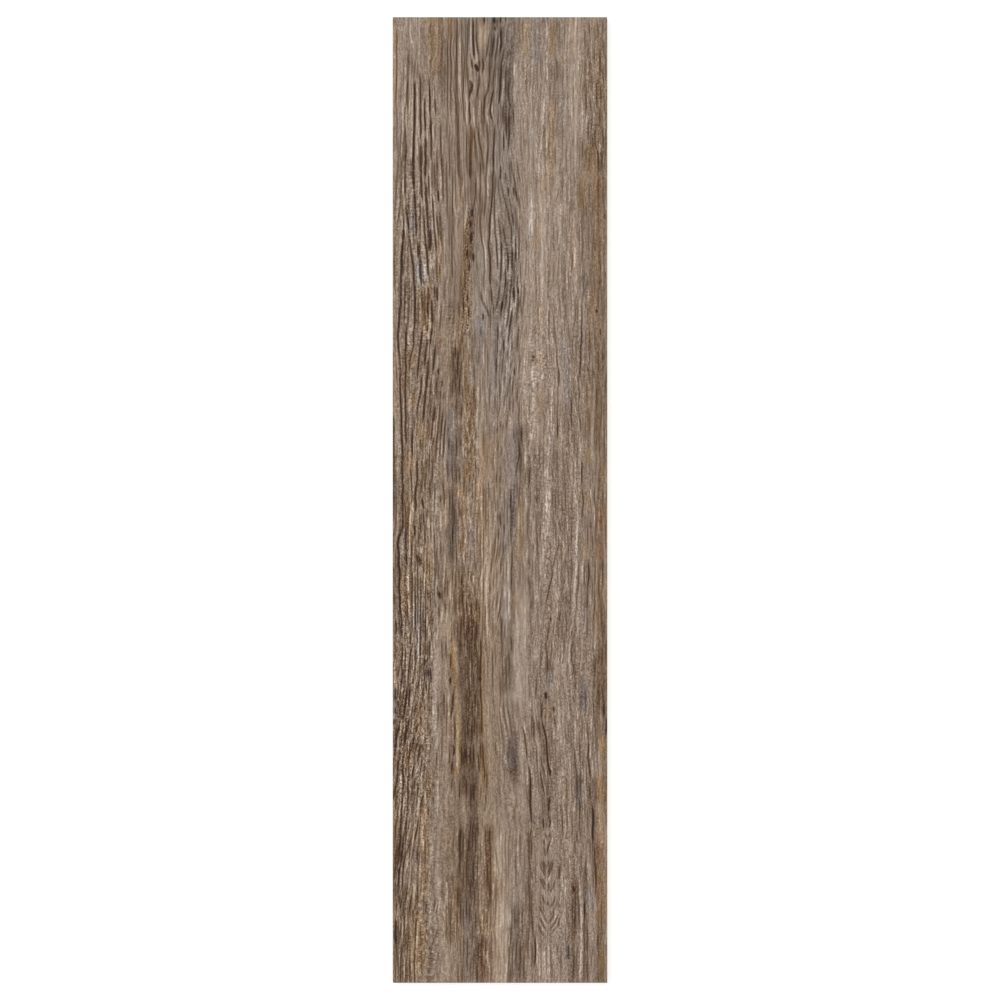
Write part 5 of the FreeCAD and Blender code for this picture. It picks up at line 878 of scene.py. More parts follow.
DARK_BANDS = [
    (4, 493.6, 14, 493.8, 32), (5, 471, 124, 471.5, 160, 473.5, 200), (5, 503, 17, 504, 80, 505, 140),
    (4, 510, 40, 508, 100, 510, 140), (2.5, 444.5, 30, 442, 75, 443, 110), (4, 520, 420, 520, 480),
    (3, 393.5, 465, 393.5, 512), (4.5, 460.5, 615, 461.5, 640, 462.5, 670, 463.2, 700),
    (3.6, 462.6, 672, 463.4, 710, 463.5, 740, 463.2, 770),
    (6.5, 472, 615, 472.5, 650, 473.5, 700, 473, 780), (3, 478.5, 700, 479, 780),
    (7, 404, 680, 403, 720, 400, 780), (3, 393.6, 685, 393.4, 720), (5, 512, 728, 514, 760, 515, 790),
    (4, 549.5, 655, 551, 690), (3, 545, 685, 543, 720, 546, 780), (4, 571, 600, 574, 650, 573.5, 700),
    (6, 599, 640, 600, 680, 602, 720), (3.5, 584, 680, 584, 720), (5, 505, 615, 507, 660, 507, 700),
    (4, 464, 765, 464, 800), (5, 474, 765, 474, 810, 473, 850), (4, 462, 820, 461.5, 880, 459, 925),
    (4.5, 469, 830, 468.5, 890, 468, 925), (4, 488.8, 820, 489.2, 860, 489.6, 916),
    (5, 480, 930, 481, 990), (3.5, 408.4, 880, 407.6, 940, 407.4, 990),
    (5, 399, 830, 397.4, 880, 397, 920), (3, 394, 915, 394, 960), (4, 530, 770, 530, 810),
    (5, 543.5, 765, 546, 830), (4, 578.5, 770, 579, 816), (5, 591.5, 770, 594, 830, 595, 890),
    (5, 575.5, 870, 575, 950, 575, 990), (3.5, 585.6, 862, 585.8, 930, 586, 990), (8, 518, 900, 517, 990),
    (4, 603.5, 960, 603.5, 990),
]
LIGHT_BANDS = [
    (6, 484, 22, 484.2, 48), (3, 395.6, 345, 396.4, 380, 396.6, 460), (5, 521, 590, 521, 640),
    (2.5, 400.2, 546, 401, 556), (3.5, 410, 560, 411, 620), (5, 519, 615, 520, 670, 517, 710),
    (4, 437, 640, 436, 700, 438, 760), (3, 458.5, 690, 458.3, 730, 458, 780), (3, 561, 700, 562, 760),
    (2.6, 453.6, 636, 454.2, 674), (3.5, 538, 640, 536, 668), (3.5, 596.5, 745, 597.5, 785),
    (6, 501, 890, 500, 930, 499, 990), (5, 498, 830, 498.5, 880), (6.5, 450.5, 935, 449.5, 990),
    (6, 545, 945, 546, 990), (3, 581.5, 872, 581, 990), (5, 599, 795, 600, 850),
]
GOLDEN_BANDS = [
    (7, 432, 0, 434, 40, 437, 82), (3, 395, 17, 395, 70, 395.4, 120),
    (3.2, 453.4, 634, 454.2, 660, 456.5, 690, 458, 740, 457.6, 780), (3, 603.4, 732, 603.2, 762),
    (5, 602, 770, 602, 870), (6.5, 602.5, 860, 602.5, 930), (3, 602, 944, 602, 976),
]
COOL_BANDS = [
    (6, 420, 262, 420.5, 284), (5, 410, 205, 411, 236), (4, 480.5, 310, 479, 345),
    (3.5, 583.5, 676, 584, 700, 584, 722), (5, 512.5, 730, 514, 775), (4, 550.5, 668, 551, 690),
    (4, 568, 938, 568, 966), (4, 578.5, 775, 579, 812), (5, 591, 880, 590.5, 915),
]
SHADES = [
    (-4, 22, 416, 250, 416, 500, 410, 1050), (9, 18, 408, -60, 406, 40, 406, 190),
    (-12, 7, 455, 260, 456, 600, 454, 1050), (-10, 9, 472, 180, 474, 300),
    (-13, 9, 473, 590, 472, 800, 470, 1040), (-8, 8, 446, -30, 448, 110), (-12, 6, 436, -30, 436, 90),
    (-10, 7, 490, 10, 491, 110), (10, 12, 527, 40, 532, 240, 531, 400),
    (9, 14, 553, 20, 556, 200, 552, 420), (9, 10, 562, 640, 560, 700), (9, 9, 527, 720, 530, 830),
    (9, 10, 585, -20, 585, 150), (-13, 6, 602, 150, 602, 600, 602, 1050), (-10, 9, 400, 470, 402, 620),
    (16, 3, 482.5, 18, 483.5, 34, 482, 54), (9, 2.5, 474, 70, 473.5, 84, 473, 100),
    (10, 3, 484, 70, 483, 84, 481.5, 98), (-9, 2.5, 493.5, 52, 494, 62, 492.5, 72),
    (-17, 2.6, 471.6, 202, 471.2, 236, 471, 266), (-10, 5, 465.5, 222, 464, 280, 463.5, 338),
    (8, 6, 481.5, 225, 482, 280, 482, 335), (5, 3, 473, 172, 472, 190, 471, 205),
    (-8, 3, 450.5, 290, 452, 330), (-9, 4.5, 455.5, 345, 455.5, 400), (-8, 2.4, 404, 526, 404, 562),
    (-8, 4, 454, 480, 454, 560), (7, 2.6, 408, 566, 408.6, 606), (-6, 4, 442, 560, 442, 600),
    (-8, 5, 424, 650, 427, 705), (-6, 6, 404, 680, 402, 745), (-7, 2.5, 452.6, 738, 452, 778),
    (-8, 3.4, 416, 842, 416, 868), (-3, 5, 402, 816, 400, 880), (-6, 3, 410, 890, 410, 915),
    (6, 3, 436.5, 790, 436.5, 818), (-5, 5, 432, 925, 432, 962),
    (-15, 2.6, 458.5, 632, 460, 659, 462, 686, 463.2, 709, 463.6, 745), (-10, 7, 471, 585, 472, 745),
    (5, 3, 486.5, 690, 487, 745), (3, 5, 453, 640, 454, 680), (-16, 2.8, 462.6, 740, 462.6, 800),
    (-12, 6, 473, 745, 472, 812), (-12, 7, 472, 806, 472.5, 900), (-10, 3, 488.5, 820, 489, 900),
    (-10, 5, 511, 742, 511, 780), (-8, 2.6, 460.2, 826, 459.6, 862), (-8, 4, 483.5, 740, 486, 792),
    (5, 6, 499.5, 800, 500, 890), (-8, 3, 547.5, 640, 548.5, 676), (-10, 2.6, 546.5, 690, 546.5, 702),
    (-7, 4.5, 580, 745, 580, 802), (-6, 5, 595, 648, 597, 706), (-5, 5, 534, 712, 535, 745),
    (4, 6, 521, 660, 521, 712), (-6, 3, 547.5, 728, 548, 760), (-14, 3.4, 530.6, 790, 530, 850, 530, 940),
    (-9, 6, 523, 935, 524, 983), (-9, 4, 579.5, 796, 580, 850), (-8, 4, 576, 880, 576, 930),
    (5, 5, 543, 945, 543, 983), (-5, 3.4, 593.8, 800, 595, 900), (-6, 3, 569, 940, 569, 962),
    (-5, 5, 588, 940, 588, 983), (-13, 3.5, 517, 17, 517, 75), (6, 2.5, 525.5, 17, 525.5, 60),
    (-5, 6, 538, 17, 538, 70), (-12, 3.4, 553, 17, 553.5, 62), (-9, 4, 555, 60, 555, 108),
    (12, 5.4, 573.5, 10, 574, 90, 573, 178), (-13, 11, 595, 10, 596, 178), (-8, 3, 562, 60, 562.5, 84),
    (5, 5, 532, 100, 533, 172), (-8, 6, 586, 135, 586, 178), (-9, 10, 596, 170, 596, 330),
    (-8, 5, 584, 175, 585, 235), (5, 10, 545, 180, 550, 290), (-8, 3.4, 585, 270, 585.5, 300),
    (6, 3, 530.5, 185, 530, 245), (6, 3, 543, 188, 543, 220), (-5, 7, 598, 230, 598, 300),
    (-5, 5, 563, 280, 563, 330), (-12, 4, 517, 420, 517, 490), (6, 3.4, 541, 382, 541, 440),
    (5, 3.4, 563, 338, 566, 366, 568, 412), (-8, 7, 562, 444, 563, 490), (-5, 9, 593, 325, 593, 440),
    (4, 7, 528, 330, 529, 440), (6, 2.6, 576.6, 405, 577, 440), (-6, 3.4, 528, 462, 530, 490),
    (5, 4, 545, 430, 545, 460), (-5, 3, 579.6, 325, 579, 372), (4, 6, 541, 340, 541, 360),
    (14, 3.6, 549.5, 478, 547.5, 500, 547, 525, 545.5, 545, 543, 566),
    (7, 2.6, 543, 560, 540, 582, 538, 604), (-9, 8, 561, 480, 561, 535),
    (-10, 3.4, 514.5, 478, 513.5, 505, 512.5, 545), (-8, 2.6, 588.6, 560, 588.4, 590),
    (-8, 4, 566, 592, 566, 608), (-5, 4, 533, 484, 534, 530), (-5, 3, 587, 520, 590, 545),
    (-6, 5.5, 562, 606, 562, 640), (4, 5, 521, 500, 520, 600), (-4, 9, 598, 480, 599, 640),
    (4, 10, 530, 600, 530, 640), (-17, 4.2, 455.4, 343, 455.4, 400), (-9, 5.5, 455.5, 396, 455.5, 420),
    (-11, 3, 463, 330, 462.4, 420), (-8, 7, 453, 430, 454, 484), (-5, 5.5, 471, 384, 471, 486),
    (4, 5, 483.5, 350, 484, 486), (-4, 4, 498.5, 396, 499, 486), (3, 6, 509, 392, 509, 486),
    (-5, 2.4, 480.6, 326, 480, 366), (-4, 3, 471.6, 326, 471.6, 366),
    (-12, 2.8, 452, 486, 452, 520, 452.4, 566), (8, 3.4, 458.2, 482, 458.2, 499),
    (5, 3, 478.8, 478, 478.6, 506), (-7, 3, 456, 514, 456, 542), (5, 6, 491, 486, 490, 600),
    (-5, 3.6, 499.5, 512, 497.5, 560), (-6, 9, 467.5, 556, 467.5, 640), (6, 3.2, 487, 544, 486.6, 640),
    (-4, 3, 498, 592, 497, 622), (5, 3, 450.4, 580, 450.4, 640), (4, 5, 506, 560, 507, 640),
    (-10, 2.4, 489.8, 822, 490, 912), (-7, 4, 468.5, 812, 468, 890), (-4, 3, 460, 826, 459, 906),
    (-4, 6, 484, 940, 484, 984), (4, 7, 502, 905, 500, 984), (8, 3, 508, 900, 507.4, 930),
    (6, 3, 506, 930, 503.4, 960), (8, 8, 545, 415, 545, 455), (-6, 5, 582, 670, 580, 800),
    (6, 3, 512, 742, 512, 768), (-5, 7, 512, 735, 513, 785), (-7, 2.8, 530, 830, 530.6, 905, 532.6, 984),
    (-5, 5, 536, 712, 537, 748), (5, 3.4, 576, 880, 576, 900), (-6, 3, 598, 300, 598, 320),
    (-4, 8, 596, 130, 596, 300), (5, 2.4, 505, 885, 504, 960), (-4, 4, 426.5, 663, 426.5, 684),
    (14, 5.5, 417, 560, 417, 655),
]
TINTS = [
    (0.3, 20, 412, 320, 412, 500, 408, 1050), (0.3, 12, 452, 300, 454, 560, 450, 1050),
    (-0.5, 14, 500, -60, 505, 300, 500, 420), (0.3, 6, 602, -60, 602, 600, 602, 1050),
    (0.4, 12, 488, 420, 490, 620, 490, 1050), (-0.5, 4, 466, 5, 466.5, 40, 468, 64),
    (0.7, 4, 483, 14, 483, 36, 482, 54), (1.2, 3, 449, 5, 449, 22, 449, 42),
    (0.6, 3, 470.4, 124, 471, 146, 470, 180), (0.7, 5, 467, 212, 466, 260, 465, 335),
    (0.3, 3, 463, 216, 463, 250, 463, 290), (-0.5, 7, 482, 230, 482, 280, 482, 335),
    (0.4, 4, 464, 165, 461, 190, 460, 215), (-0.6, 7, 420, 250, 420, 275, 421, 298),
    (-0.4, 3, 431, 206, 431, 226, 431, 244), (0.7, 7, 426, 276, 426, 310, 428, 345),
    (0.7, 4, 440, 230, 440, 255, 439, 285), (0.7, 2, 396.5, 378, 396.5, 414),
    (0.8, 2.4, 411, 388, 411, 417), (0.8, 3, 420.5, 418, 420.5, 448), (0.8, 4.5, 410, 448, 410, 478),
    (0.8, 2.6, 413.5, 348, 413.5, 368), (0.7, 2, 439.5, 323, 439.5, 352),
    (-0.6, 2, 414.5, 363, 414.5, 394), (-0.6, 3.6, 449.5, 403, 449.5, 484),
    (-0.5, 2.6, 409.5, 403, 409.5, 432), (0.9, 2, 410, 490, 410, 546), (0.8, 3.4, 404.5, 566, 404.5, 622),
    (-0.6, 3.6, 403.5, 525, 403.5, 562), (0.5, 3.4, 428, 540, 428, 596), (0.6, 4, 442, 500, 442, 530),
    (-0.6, 4, 453, 480, 453, 570), (0.6, 2, 418, 515, 418, 540), (-0.4, 5, 402, 605, 402, 640),
    (0.7, 2, 430.5, 508, 430.5, 530), (-0.6, 4, 418, 600, 418, 640), (-0.6, 2.2, 394.5, 480, 394.5, 500),
    (0.6, 3, 420, 700, 419, 745), (0.7, 4, 408, 744, 407.5, 770), (0.7, 4.5, 430, 768, 428, 800),
    (-0.6, 2.4, 426.5, 655, 427, 690), (-0.6, 2.2, 394.6, 684, 394.6, 722),
    (-0.6, 3, 402.5, 665, 402.5, 690), (0.8, 2.6, 453.5, 640, 453, 680), (0.5, 2.6, 450, 700, 449.5, 745),
    (-0.6, 3, 416.5, 642, 416.5, 662), (-0.5, 2.2, 454.2, 692, 454.2, 722),
    (-0.4, 3, 398.5, 768, 398.5, 796), (0.7, 4.5, 424.5, 800, 424.5, 862), (0.8, 7, 418, 905, 418, 983),
    (0.8, 4, 423.5, 860, 423.5, 905), (0.8, 1.6, 414, 884, 413.6, 912), (-0.6, 3, 408.5, 800, 408, 828),
    (-0.6, 3.4, 416, 842, 416, 866), (-0.5, 2.4, 431.5, 798, 432, 830),
    (0.7, 2.4, 394.6, 800, 394.6, 870), (0.5, 3, 412, 830, 412, 842), (-0.4, 3, 401, 868, 401, 890),
    (-0.7, 1.6, 393.6, 926, 393.6, 942), (0.4, 3, 443, 800, 443, 815), (0.3, 7, 472, 600, 472.5, 745),
    (-0.3, 2.6, 459.5, 640, 463, 700, 464, 745), (0.5, 2, 481.6, 640, 482.2, 745),
    (0.3, 2.6, 462, 620, 463, 655), (0.1, 3, 487, 690, 487, 745), (1, 3, 482.5, 745, 484, 790),
    (0.8, 2.6, 480.5, 778, 480.5, 806), (-0.3, 2.6, 462.5, 745, 462.5, 780), (0.3, 6, 472, 745, 472, 780),
    (0.5, 3.2, 456.5, 765, 456.5, 782), (-0.3, 4, 472, 800, 475, 895), (0.4, 3, 449.5, 830, 450, 858),
    (0.6, 1.6, 466.4, 850, 466.2, 893), (-0.5, 5, 511, 742, 511, 778), (0.7, 2, 490, 845, 491, 895),
    (0.3, 3.4, 494, 742, 494, 768), (0.7, 3.6, 549, 700, 549, 722), (-0.6, 3, 550.5, 670, 550.5, 694),
    (-0.5, 3.6, 583, 670, 584, 712), (-0.4, 3, 546, 688, 547, 700), (0.7, 2.6, 601.5, 730, 601.5, 756),
    (-0.6, 1.8, 606, 726, 606, 752), (0.6, 1.6, 606.8, 640, 606.8, 700), (-0.4, 3.4, 580, 745, 580, 800),
    (0.6, 4, 599, 770, 601, 800), (-0.3, 2.4, 531, 704, 531.5, 722), (-0.3, 2.6, 530.5, 796, 530.5, 830),
    (-0.5, 3, 552, 902, 552, 912), (0.5, 2.6, 571, 876, 571, 896), (-0.3, 3.4, 569, 940, 569, 962),
    (-0.3, 3, 542, 800, 543, 832), (0.3, 5, 543, 945, 543, 983), (0.4, 2.6, 590.5, 905, 590.5, 925),
    (0.8, 2.6, 525.5, 15, 525.5, 60), (-0.8, 6.5, 538, 10, 538, 72), (1, 3.2, 553, 15, 553.5, 62),
    (0.8, 4.5, 552, 95, 550.5, 178), (-0.6, 3.6, 562, 80, 563, 130), (0.5, 5, 574, 10, 574, 60),
    (0.8, 3.6, 594, 17, 594, 32), (1.1, 6.5, 591, 138, 591, 180), (-0.6, 4, 533, 122, 534, 148),
    (0.3, 12, 594, 40, 594, 120), (0.4, 1.6, 541.6, 128, 540, 150), (1.2, 4.6, 582, 172, 582, 216),
    (0.8, 5.5, 545, 172, 545, 194), (0.4, 3, 543, 190, 543, 215),
    (0.8, 2.6, 546, 214, 541, 226, 538, 238, 536, 256), (-0.5, 3.4, 530, 186, 530, 245),
    (-0.7, 3, 585, 272, 585.5, 302), (0.9, 4, 593.5, 286, 593.5, 328), (0.5, 3, 555, 254, 555, 276),
    (0.5, 4, 540, 300, 541, 330), (0.7, 4, 597, 170, 597, 200), (-0.3, 3, 606, 190, 606, 216),
    (0.5, 2.2, 573, 210, 573, 275), (0.3, 4, 536, 262, 538, 296), (0.8, 4, 539, 350, 539, 372),
    (-0.6, 3.6, 563, 336, 566, 366, 568, 414), (-0.7, 4.2, 516.5, 418, 516.5, 486),
    (0.8, 3.4, 590, 325, 590, 350), (0.4, 7, 590, 350, 591, 440), (0.9, 4, 588, 444, 588, 470),
    (0.5, 4, 602, 455, 602, 488), (0.6, 3.6, 541, 384, 541, 425), (0.5, 2.6, 527, 402, 527, 420),
    (-0.4, 2, 597.5, 455, 597.5, 485), (0.4, 3, 543, 426, 543, 455),
    (-0.7, 4, 514.5, 478, 513.5, 505, 512.5, 545), (0.8, 3.4, 521.5, 494, 521.5, 562),
    (0.9, 3.2, 588.5, 486, 588.5, 514), (0.7, 4.5, 602, 500, 602, 536),
    (0.7, 4.5, 601.5, 536, 601.5, 564), (0.4, 4.5, 602, 570, 602, 640), (0.7, 3.2, 585.5, 534, 586, 562),
    (-0.4, 3.4, 583, 590, 583, 640), (-0.3, 4.2, 566, 590, 565, 610), (0.5, 1.6, 558.8, 590, 558.8, 600),
    (0.6, 1, 549, 545, 545.6, 571, 544.4, 586), (-0.4, 2.6, 530, 608, 530, 626),
    (0.5, 4, 517, 590, 517, 620), (0.5, 4, 595, 600, 595, 622), (-0.3, 1.4, 552.4, 562, 550.6, 578),
    (-0.4, 2.6, 563, 566, 563, 590), (0.4, 2, 566, 536, 566, 560), (-0.3, 4.2, 455.4, 348, 455.4, 400),
    (0.7, 2.2, 466.2, 346, 465.8, 400), (0.6, 3, 463, 328, 463, 362), (0.7, 5, 471.4, 380, 471.2, 486),
    (0.6, 2.4, 465.4, 396, 464.8, 450), (1, 2.4, 465.6, 456, 466.2, 488),
    (-0.6, 3, 480.6, 326, 479.6, 366), (0.4, 1.2, 481.6, 430, 481.6, 486),
    (-0.5, 5.5, 453, 402, 453, 484), (-0.3, 3, 493.5, 404, 494, 440), (-0.5, 5, 508, 430, 508, 486),
    (0.3, 4, 486, 440, 486, 486), (1, 3.4, 458.4, 482, 458.4, 500), (-0.7, 3, 456, 512, 456, 542),
    (0.6, 4, 463, 484, 463, 560), (0.4, 5, 471, 486, 471, 526), (-0.3, 3.2, 472.4, 526, 472.4, 562),
    (1.1, 2.4, 478.8, 478, 478.8, 502), (0.7, 2.8, 478.6, 502, 478.4, 560), (0.5, 10, 468, 560, 468, 640),
    (0.5, 1.4, 483.4, 486, 483.4, 640), (0.4, 2, 488.6, 500, 488.6, 560), (-0.5, 5.5, 504, 490, 503, 560),
    (-0.4, 4, 498, 590, 497.4, 624), (-0.4, 3, 451, 490, 451, 560), (0.7, 2.4, 449.6, 582, 449.6, 600),
    (0.6, 2.4, 449.4, 618, 449.4, 641), (-0.3, 4, 505, 580, 505, 640), (0.3, 8, 501, 860, 499, 984),
    (-0.5, 2.6, 467, 895, 467, 975), (0.5, 4.5, 485.5, 905, 485.5, 938), (0.4, 5, 484, 940, 484, 984),
    (0.4, 4, 456, 870, 455, 940), (0.7, 1.6, 479, 805, 479, 822), (-0.3, 5, 517, 890, 516, 984),
    (0.3, 6, 538, 20, 538, 60), (-0.3, 3, 590, 145, 590, 170), (-0.3, 3, 581, 180, 581, 208),
    (0.3, 8, 597, 170, 597, 290), (0.3, 3, 512, 738, 512, 770), (0.3, 3, 583, 684, 584, 706),
    (-0.2, 3, 598, 740, 599, 840), (-0.5, 3.4, 417.5, 580, 417.5, 656),
    (-0.6, 3.4, 426.5, 662, 426.5, 684), (0.5, 4, 429, 560, 429, 582),
]
SPECKLES = [
    (0.7, 20, 412, 160, 414, 500, 412, 1050), (0.9, 16, 414, 540, 412, 660, 408, 830),
    (-0.5, 18, 462, -60, 466, 170, 466, 330), (-0.45, 10, 492, -40, 492, 200),
    (0.45, 30, 560, 280, 560, 500, 560, 1050), (-0.35, 14, 512, 560, 514, 740),
    (1.5, 5, 470, 200, 468, 260, 464, 340), (0.6, 8, 512, 230, 512, 330), (0.5, 7, 471, 600, 471, 745),
    (-0.5, 10, 548, 828, 548, 942), (0.5, 11, 595, 40, 595, 172), (-0.4, 5, 574, 17, 574, 160),
    (0.3, 6, 532, 50, 532, 110), (-0.6, 4.5, 541, 384, 542, 450), (0.5, 5, 539, 348, 539, 374),
    (0.4, 6, 549, 345, 550, 372), (-0.4, 10, 593, 380, 593, 480), (-0.4, 12, 532, 486, 532, 640),
    (-0.3, 12, 598, 486, 598, 640), (0.5, 5.5, 471, 382, 471, 488), (0.4, 6, 457, 344, 457, 400),
    (-0.35, 7, 485, 330, 485, 486), (0.4, 10, 468, 486, 468, 640), (-0.35, 7, 505, 486, 504, 640),
    (0.3, 7, 484, 820, 484, 984), (-0.35, 7, 502, 800, 502, 984), (-0.7, 6, 417, 545, 417, 662),
    (-0.4, 8, 420, 660, 420, 700),
]
LINED = [
    (0.7, 9, 441, 380, 438, 490, 438, 620), (0.6, 18, 416, 50, 418, 160, 418, 330, 414, 500),
    (0.6, 16, 412, 480, 412, 640, 408, 760, 404, 1050), (0.9, 24, 466, -60, 470, 170, 468, 330),
    (0.5, 12, 515, 80, 515, 330), (0.3, 24, 470, 330, 470, 600, 470, 1050),
    (0.25, 40, 560, -60, 560, 600, 560, 1050), (-0.9, 5, 469, 195, 467, 260, 464, 340),
    (-0.5, 5, 482, 220, 482, 330),
]
RINGED = [
    (1, 18, 414, 50, 416, 160, 418, 300, 414, 500), (1.1, 16, 412, 480, 412, 640, 408, 700, 400, 850),
    (0.7, 10, 400, 800, 398, 900, 397, 1050), (0.5, 8, 424, 760, 420, 860, 418, 1050),
]
RIPPLED = [
    (1, 6, 411, 150, 411.5, 200, 414, 250), (0.5, 10, 428, 250, 428, 300, 425, 350),
    (0.5, 6, 448, 290, 450, 340, 448, 380), (0.8, 3, 512.5, 475, 512.5, 510, 512.5, 550),
    (0.8, 7, 538, 326, 538, 342), (0.6, 6, 530, 374, 530, 396),
]
CRACK_RUNS = [
    (0.8, 405.3, 126, 166), (0.9, 420.4, 100, 118), (0.8, 424.5, 98, 108),
]
DARK_RUNS = [
    (0.5, 398.2, 138, 170), (0.5, 401.4, 118, 165), (0.5, 408.4, 48, 72), (0.5, 415.6, 40, 62),
    (0.5, 411.8, 58, 76), (0.6, 429.6, 84, 112), (0.6, 430.6, 116, 138), (0.5, 435, 122, 142),
    (0.6, 436.6, 144, 172), (0.45, 440.6, 122, 142), (0.45, 443.2, 146, 180), (0.45, 446.6, 118, 142),
    (0.45, 450, 78, 112), (0.45, 449, 130, 180), (0.5, 418, 62, 80), (0.5, 424.4, 110, 132),
    (0.4, 403.2, 60, 90),
]
LIGHT_RUNS = [
    (0.6, 422.4, 98, 160), (0.5, 412, 96, 160), (0.5, 417.2, 78, 160), (0.6, 427, 84, 160),
    (0.5, 433, 84, 120), (0.5, 404.6, 60, 110), (0.5, 409.8, 66, 130), (0.5, 433.4, 130, 160),
    (0.5, 402.6, 104, 160),
]
# Lines that the grain follows, from the left edge to the right: the place across the grain
# that each one stands for, and then its points.
GUIDES = [
    (401, 407, 17, 407.4, 92, 404.8, 166, 402.6, 240, 400, 290, 398, 330, 399.6, 370, 401.2, 420, 403,
     490, 402.6, 515, 398, 545, 400, 600, 401, 650, 398.6, 700, 394.6, 745, 392, 800, 390, 860, 389, 983),
    (419, 420, 17, 420.2, 110, 421, 180, 424, 245, 428, 290, 430, 320, 427.6, 360, 423.6, 404, 421, 440,
     420, 480, 421, 530, 420.2, 600, 419, 660, 416, 710, 412, 750, 409.5, 800, 406, 850, 403.4, 900, 403,
     983),
    (434, 436, 17, 436, 130, 437, 204, 441, 250, 443, 290, 440, 340, 436, 390, 432, 440, 430, 480, 432,
     540, 432, 600, 430, 670, 426, 720, 423, 760, 421, 820, 419, 870, 417, 920, 416, 983),
    (454, 456.6, 17, 458, 165, 460, 230, 458, 300, 456, 360, 453, 420, 451.8, 505, 452, 545, 451, 600,
     450, 660, 452, 700, 453, 760, 452, 983),
    (471, 467, 17, 469, 100, 472, 180, 474, 240, 474, 320, 472, 400, 471, 500, 470, 600, 472, 700, 470,
     800, 468, 860, 467, 983),
    (491, 489.6, 17, 490.8, 110, 493, 150, 491, 210, 490, 250, 492, 300, 494, 360, 495, 400, 494, 480,
     490, 560, 488, 620, 490, 690, 491, 800, 491.6, 900, 491, 983),
    (505, 504, 17, 502, 120, 508, 200, 514, 245, 511, 285, 506, 330, 502, 380, 502, 460, 500, 540, 500,
     620, 500, 700, 506, 745, 508, 800, 508, 983),
    (530, 530, 17, 529, 150, 532, 200, 530, 300, 527, 350, 523, 400, 526, 500, 528, 600, 530, 680, 536,
     740, 540, 800, 538, 870, 536, 983),
    (547, 545, 17, 545, 80, 542, 150, 545, 220, 546, 300, 548, 350, 548, 440, 546, 520, 550, 580, 548,
     640, 545, 700, 547, 800, 547, 983),
    (573, 574, 17, 574, 240, 572, 300, 570, 360, 573, 430, 577, 510, 576, 560, 572, 620, 570, 660, 573,
     720, 575, 800, 575, 983),
    (597, 596, 17, 597, 250, 597, 500, 596, 750, 597, 983),
]


class Box:
    """The box round a node of the frame, in metres."""

    def __init__(self, node):
        corners = [node.matrix_world @ Vector(corner) for corner in node.bound_box]
        self.left = min(corner.x for corner in corners)
        self.right = max(corner.x for corner in corners)
        self.bottom = min(corner.y for corner in corners)
        self.top = max(corner.y for corner in corners)
        self.low = min(corner.z for corner in corners)
        self.high = max(corner.z for corner in corners)
        self.width = self.right - self.left
        self.length = self.top - self.bottom


def even_steps(first, last, count):
    return [first + (last - first) * i / count for i in range(count + 1)]


box = Box(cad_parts[NODE])
units_across = (FACE_RIGHT - FACE_LEFT) / box.width
units_down = (FACE_BOTTOM - FACE_TOP) / box.length

# The face's grid: rows run down the picture
grid_x = even_steps(box.left + BEVEL, box.right - BEVEL, COLUMNS)
grid_u = [(x - box.left) * units_across + FACE_LEFT for x in grid_x]
row_stops = [FACE_TOP + BEVEL * units_down, *ROW_STOPS, FACE_BOTTOM - BEVEL * units_down]
grid_v = [row_stops[0]]
for start, end, count in zip(row_stops, row_stops[1:], ROW_COUNTS):
    grid_v += even_steps(start, end, count)[1:]
grid_y = [box.top - (v - FACE_TOP) / units_down for v in grid_v]


# Drawing on the grid


def clamp(value, low=0.0, high=1.0):
    return max(low, min(high, value))


def smooth(value):
    """A ramp from 0 to 1 with soft ends."""
    value = clamp(value)
    return value * value * (3.0 - 2.0 * value)


def wander(u, v, seed):
    """Smooth noise about 0, mostly between -1 and 1."""
    return 1.6 * noise.noise(Vector((u, v, seed * 5.37)))


def pairs(numbers):
    return list(zip(numbers[0::2], numbers[1::2]))


def slope(points, i):
    (u0, v0), (u1, v1) = points[max(i - 1, 0)], points[min(i + 1, len(points) - 1)]
    return (u1 - u0) / (v1 - v0)


def path_at(points, v):
    """Where a smooth line through the points is at v. It runs on straight beyond its ends."""
    i = 0
    while i < len(points) - 2 and v > points[i + 1][1]:
        i += 1
    (u0, v0), (u1, v1) = points[i], points[i + 1]
    height = v1 - v0
    m0, m1 = slope(points, i), slope(points, i + 1)
    t = clamp((v - v0) / height)
    u = u0 + (u1 - u0) * t * t * (3.0 - 2.0 * t)
    u += height * t * (1.0 - t) * (m0 * (1.0 - t) - m1 * t)
    return u + m0 * min(v - v0, 0.0) + m1 * max(v - v1, 0.0)


def rows_near(start, end):
    """Rows of the grid from just above start to just below end."""
    above = sum(v < start for v in grid_v) - 1
    below = sum(v <= end for v in grid_v)
    return range(max(above, 0), min(below, ROWS) + 1)


def columns_near(left, right):
    step = grid_u[1] - grid_u[0]
    first = math.ceil((left - grid_u[0]) / step)
    last = math.floor((right - grid_u[0]) / step)
    return range(max(first, 0), min(last, COLUMNS) + 1)


def blank(value=0.0):
    return [[value] * (COLUMNS + 1) for _ in range(ROWS + 1)]


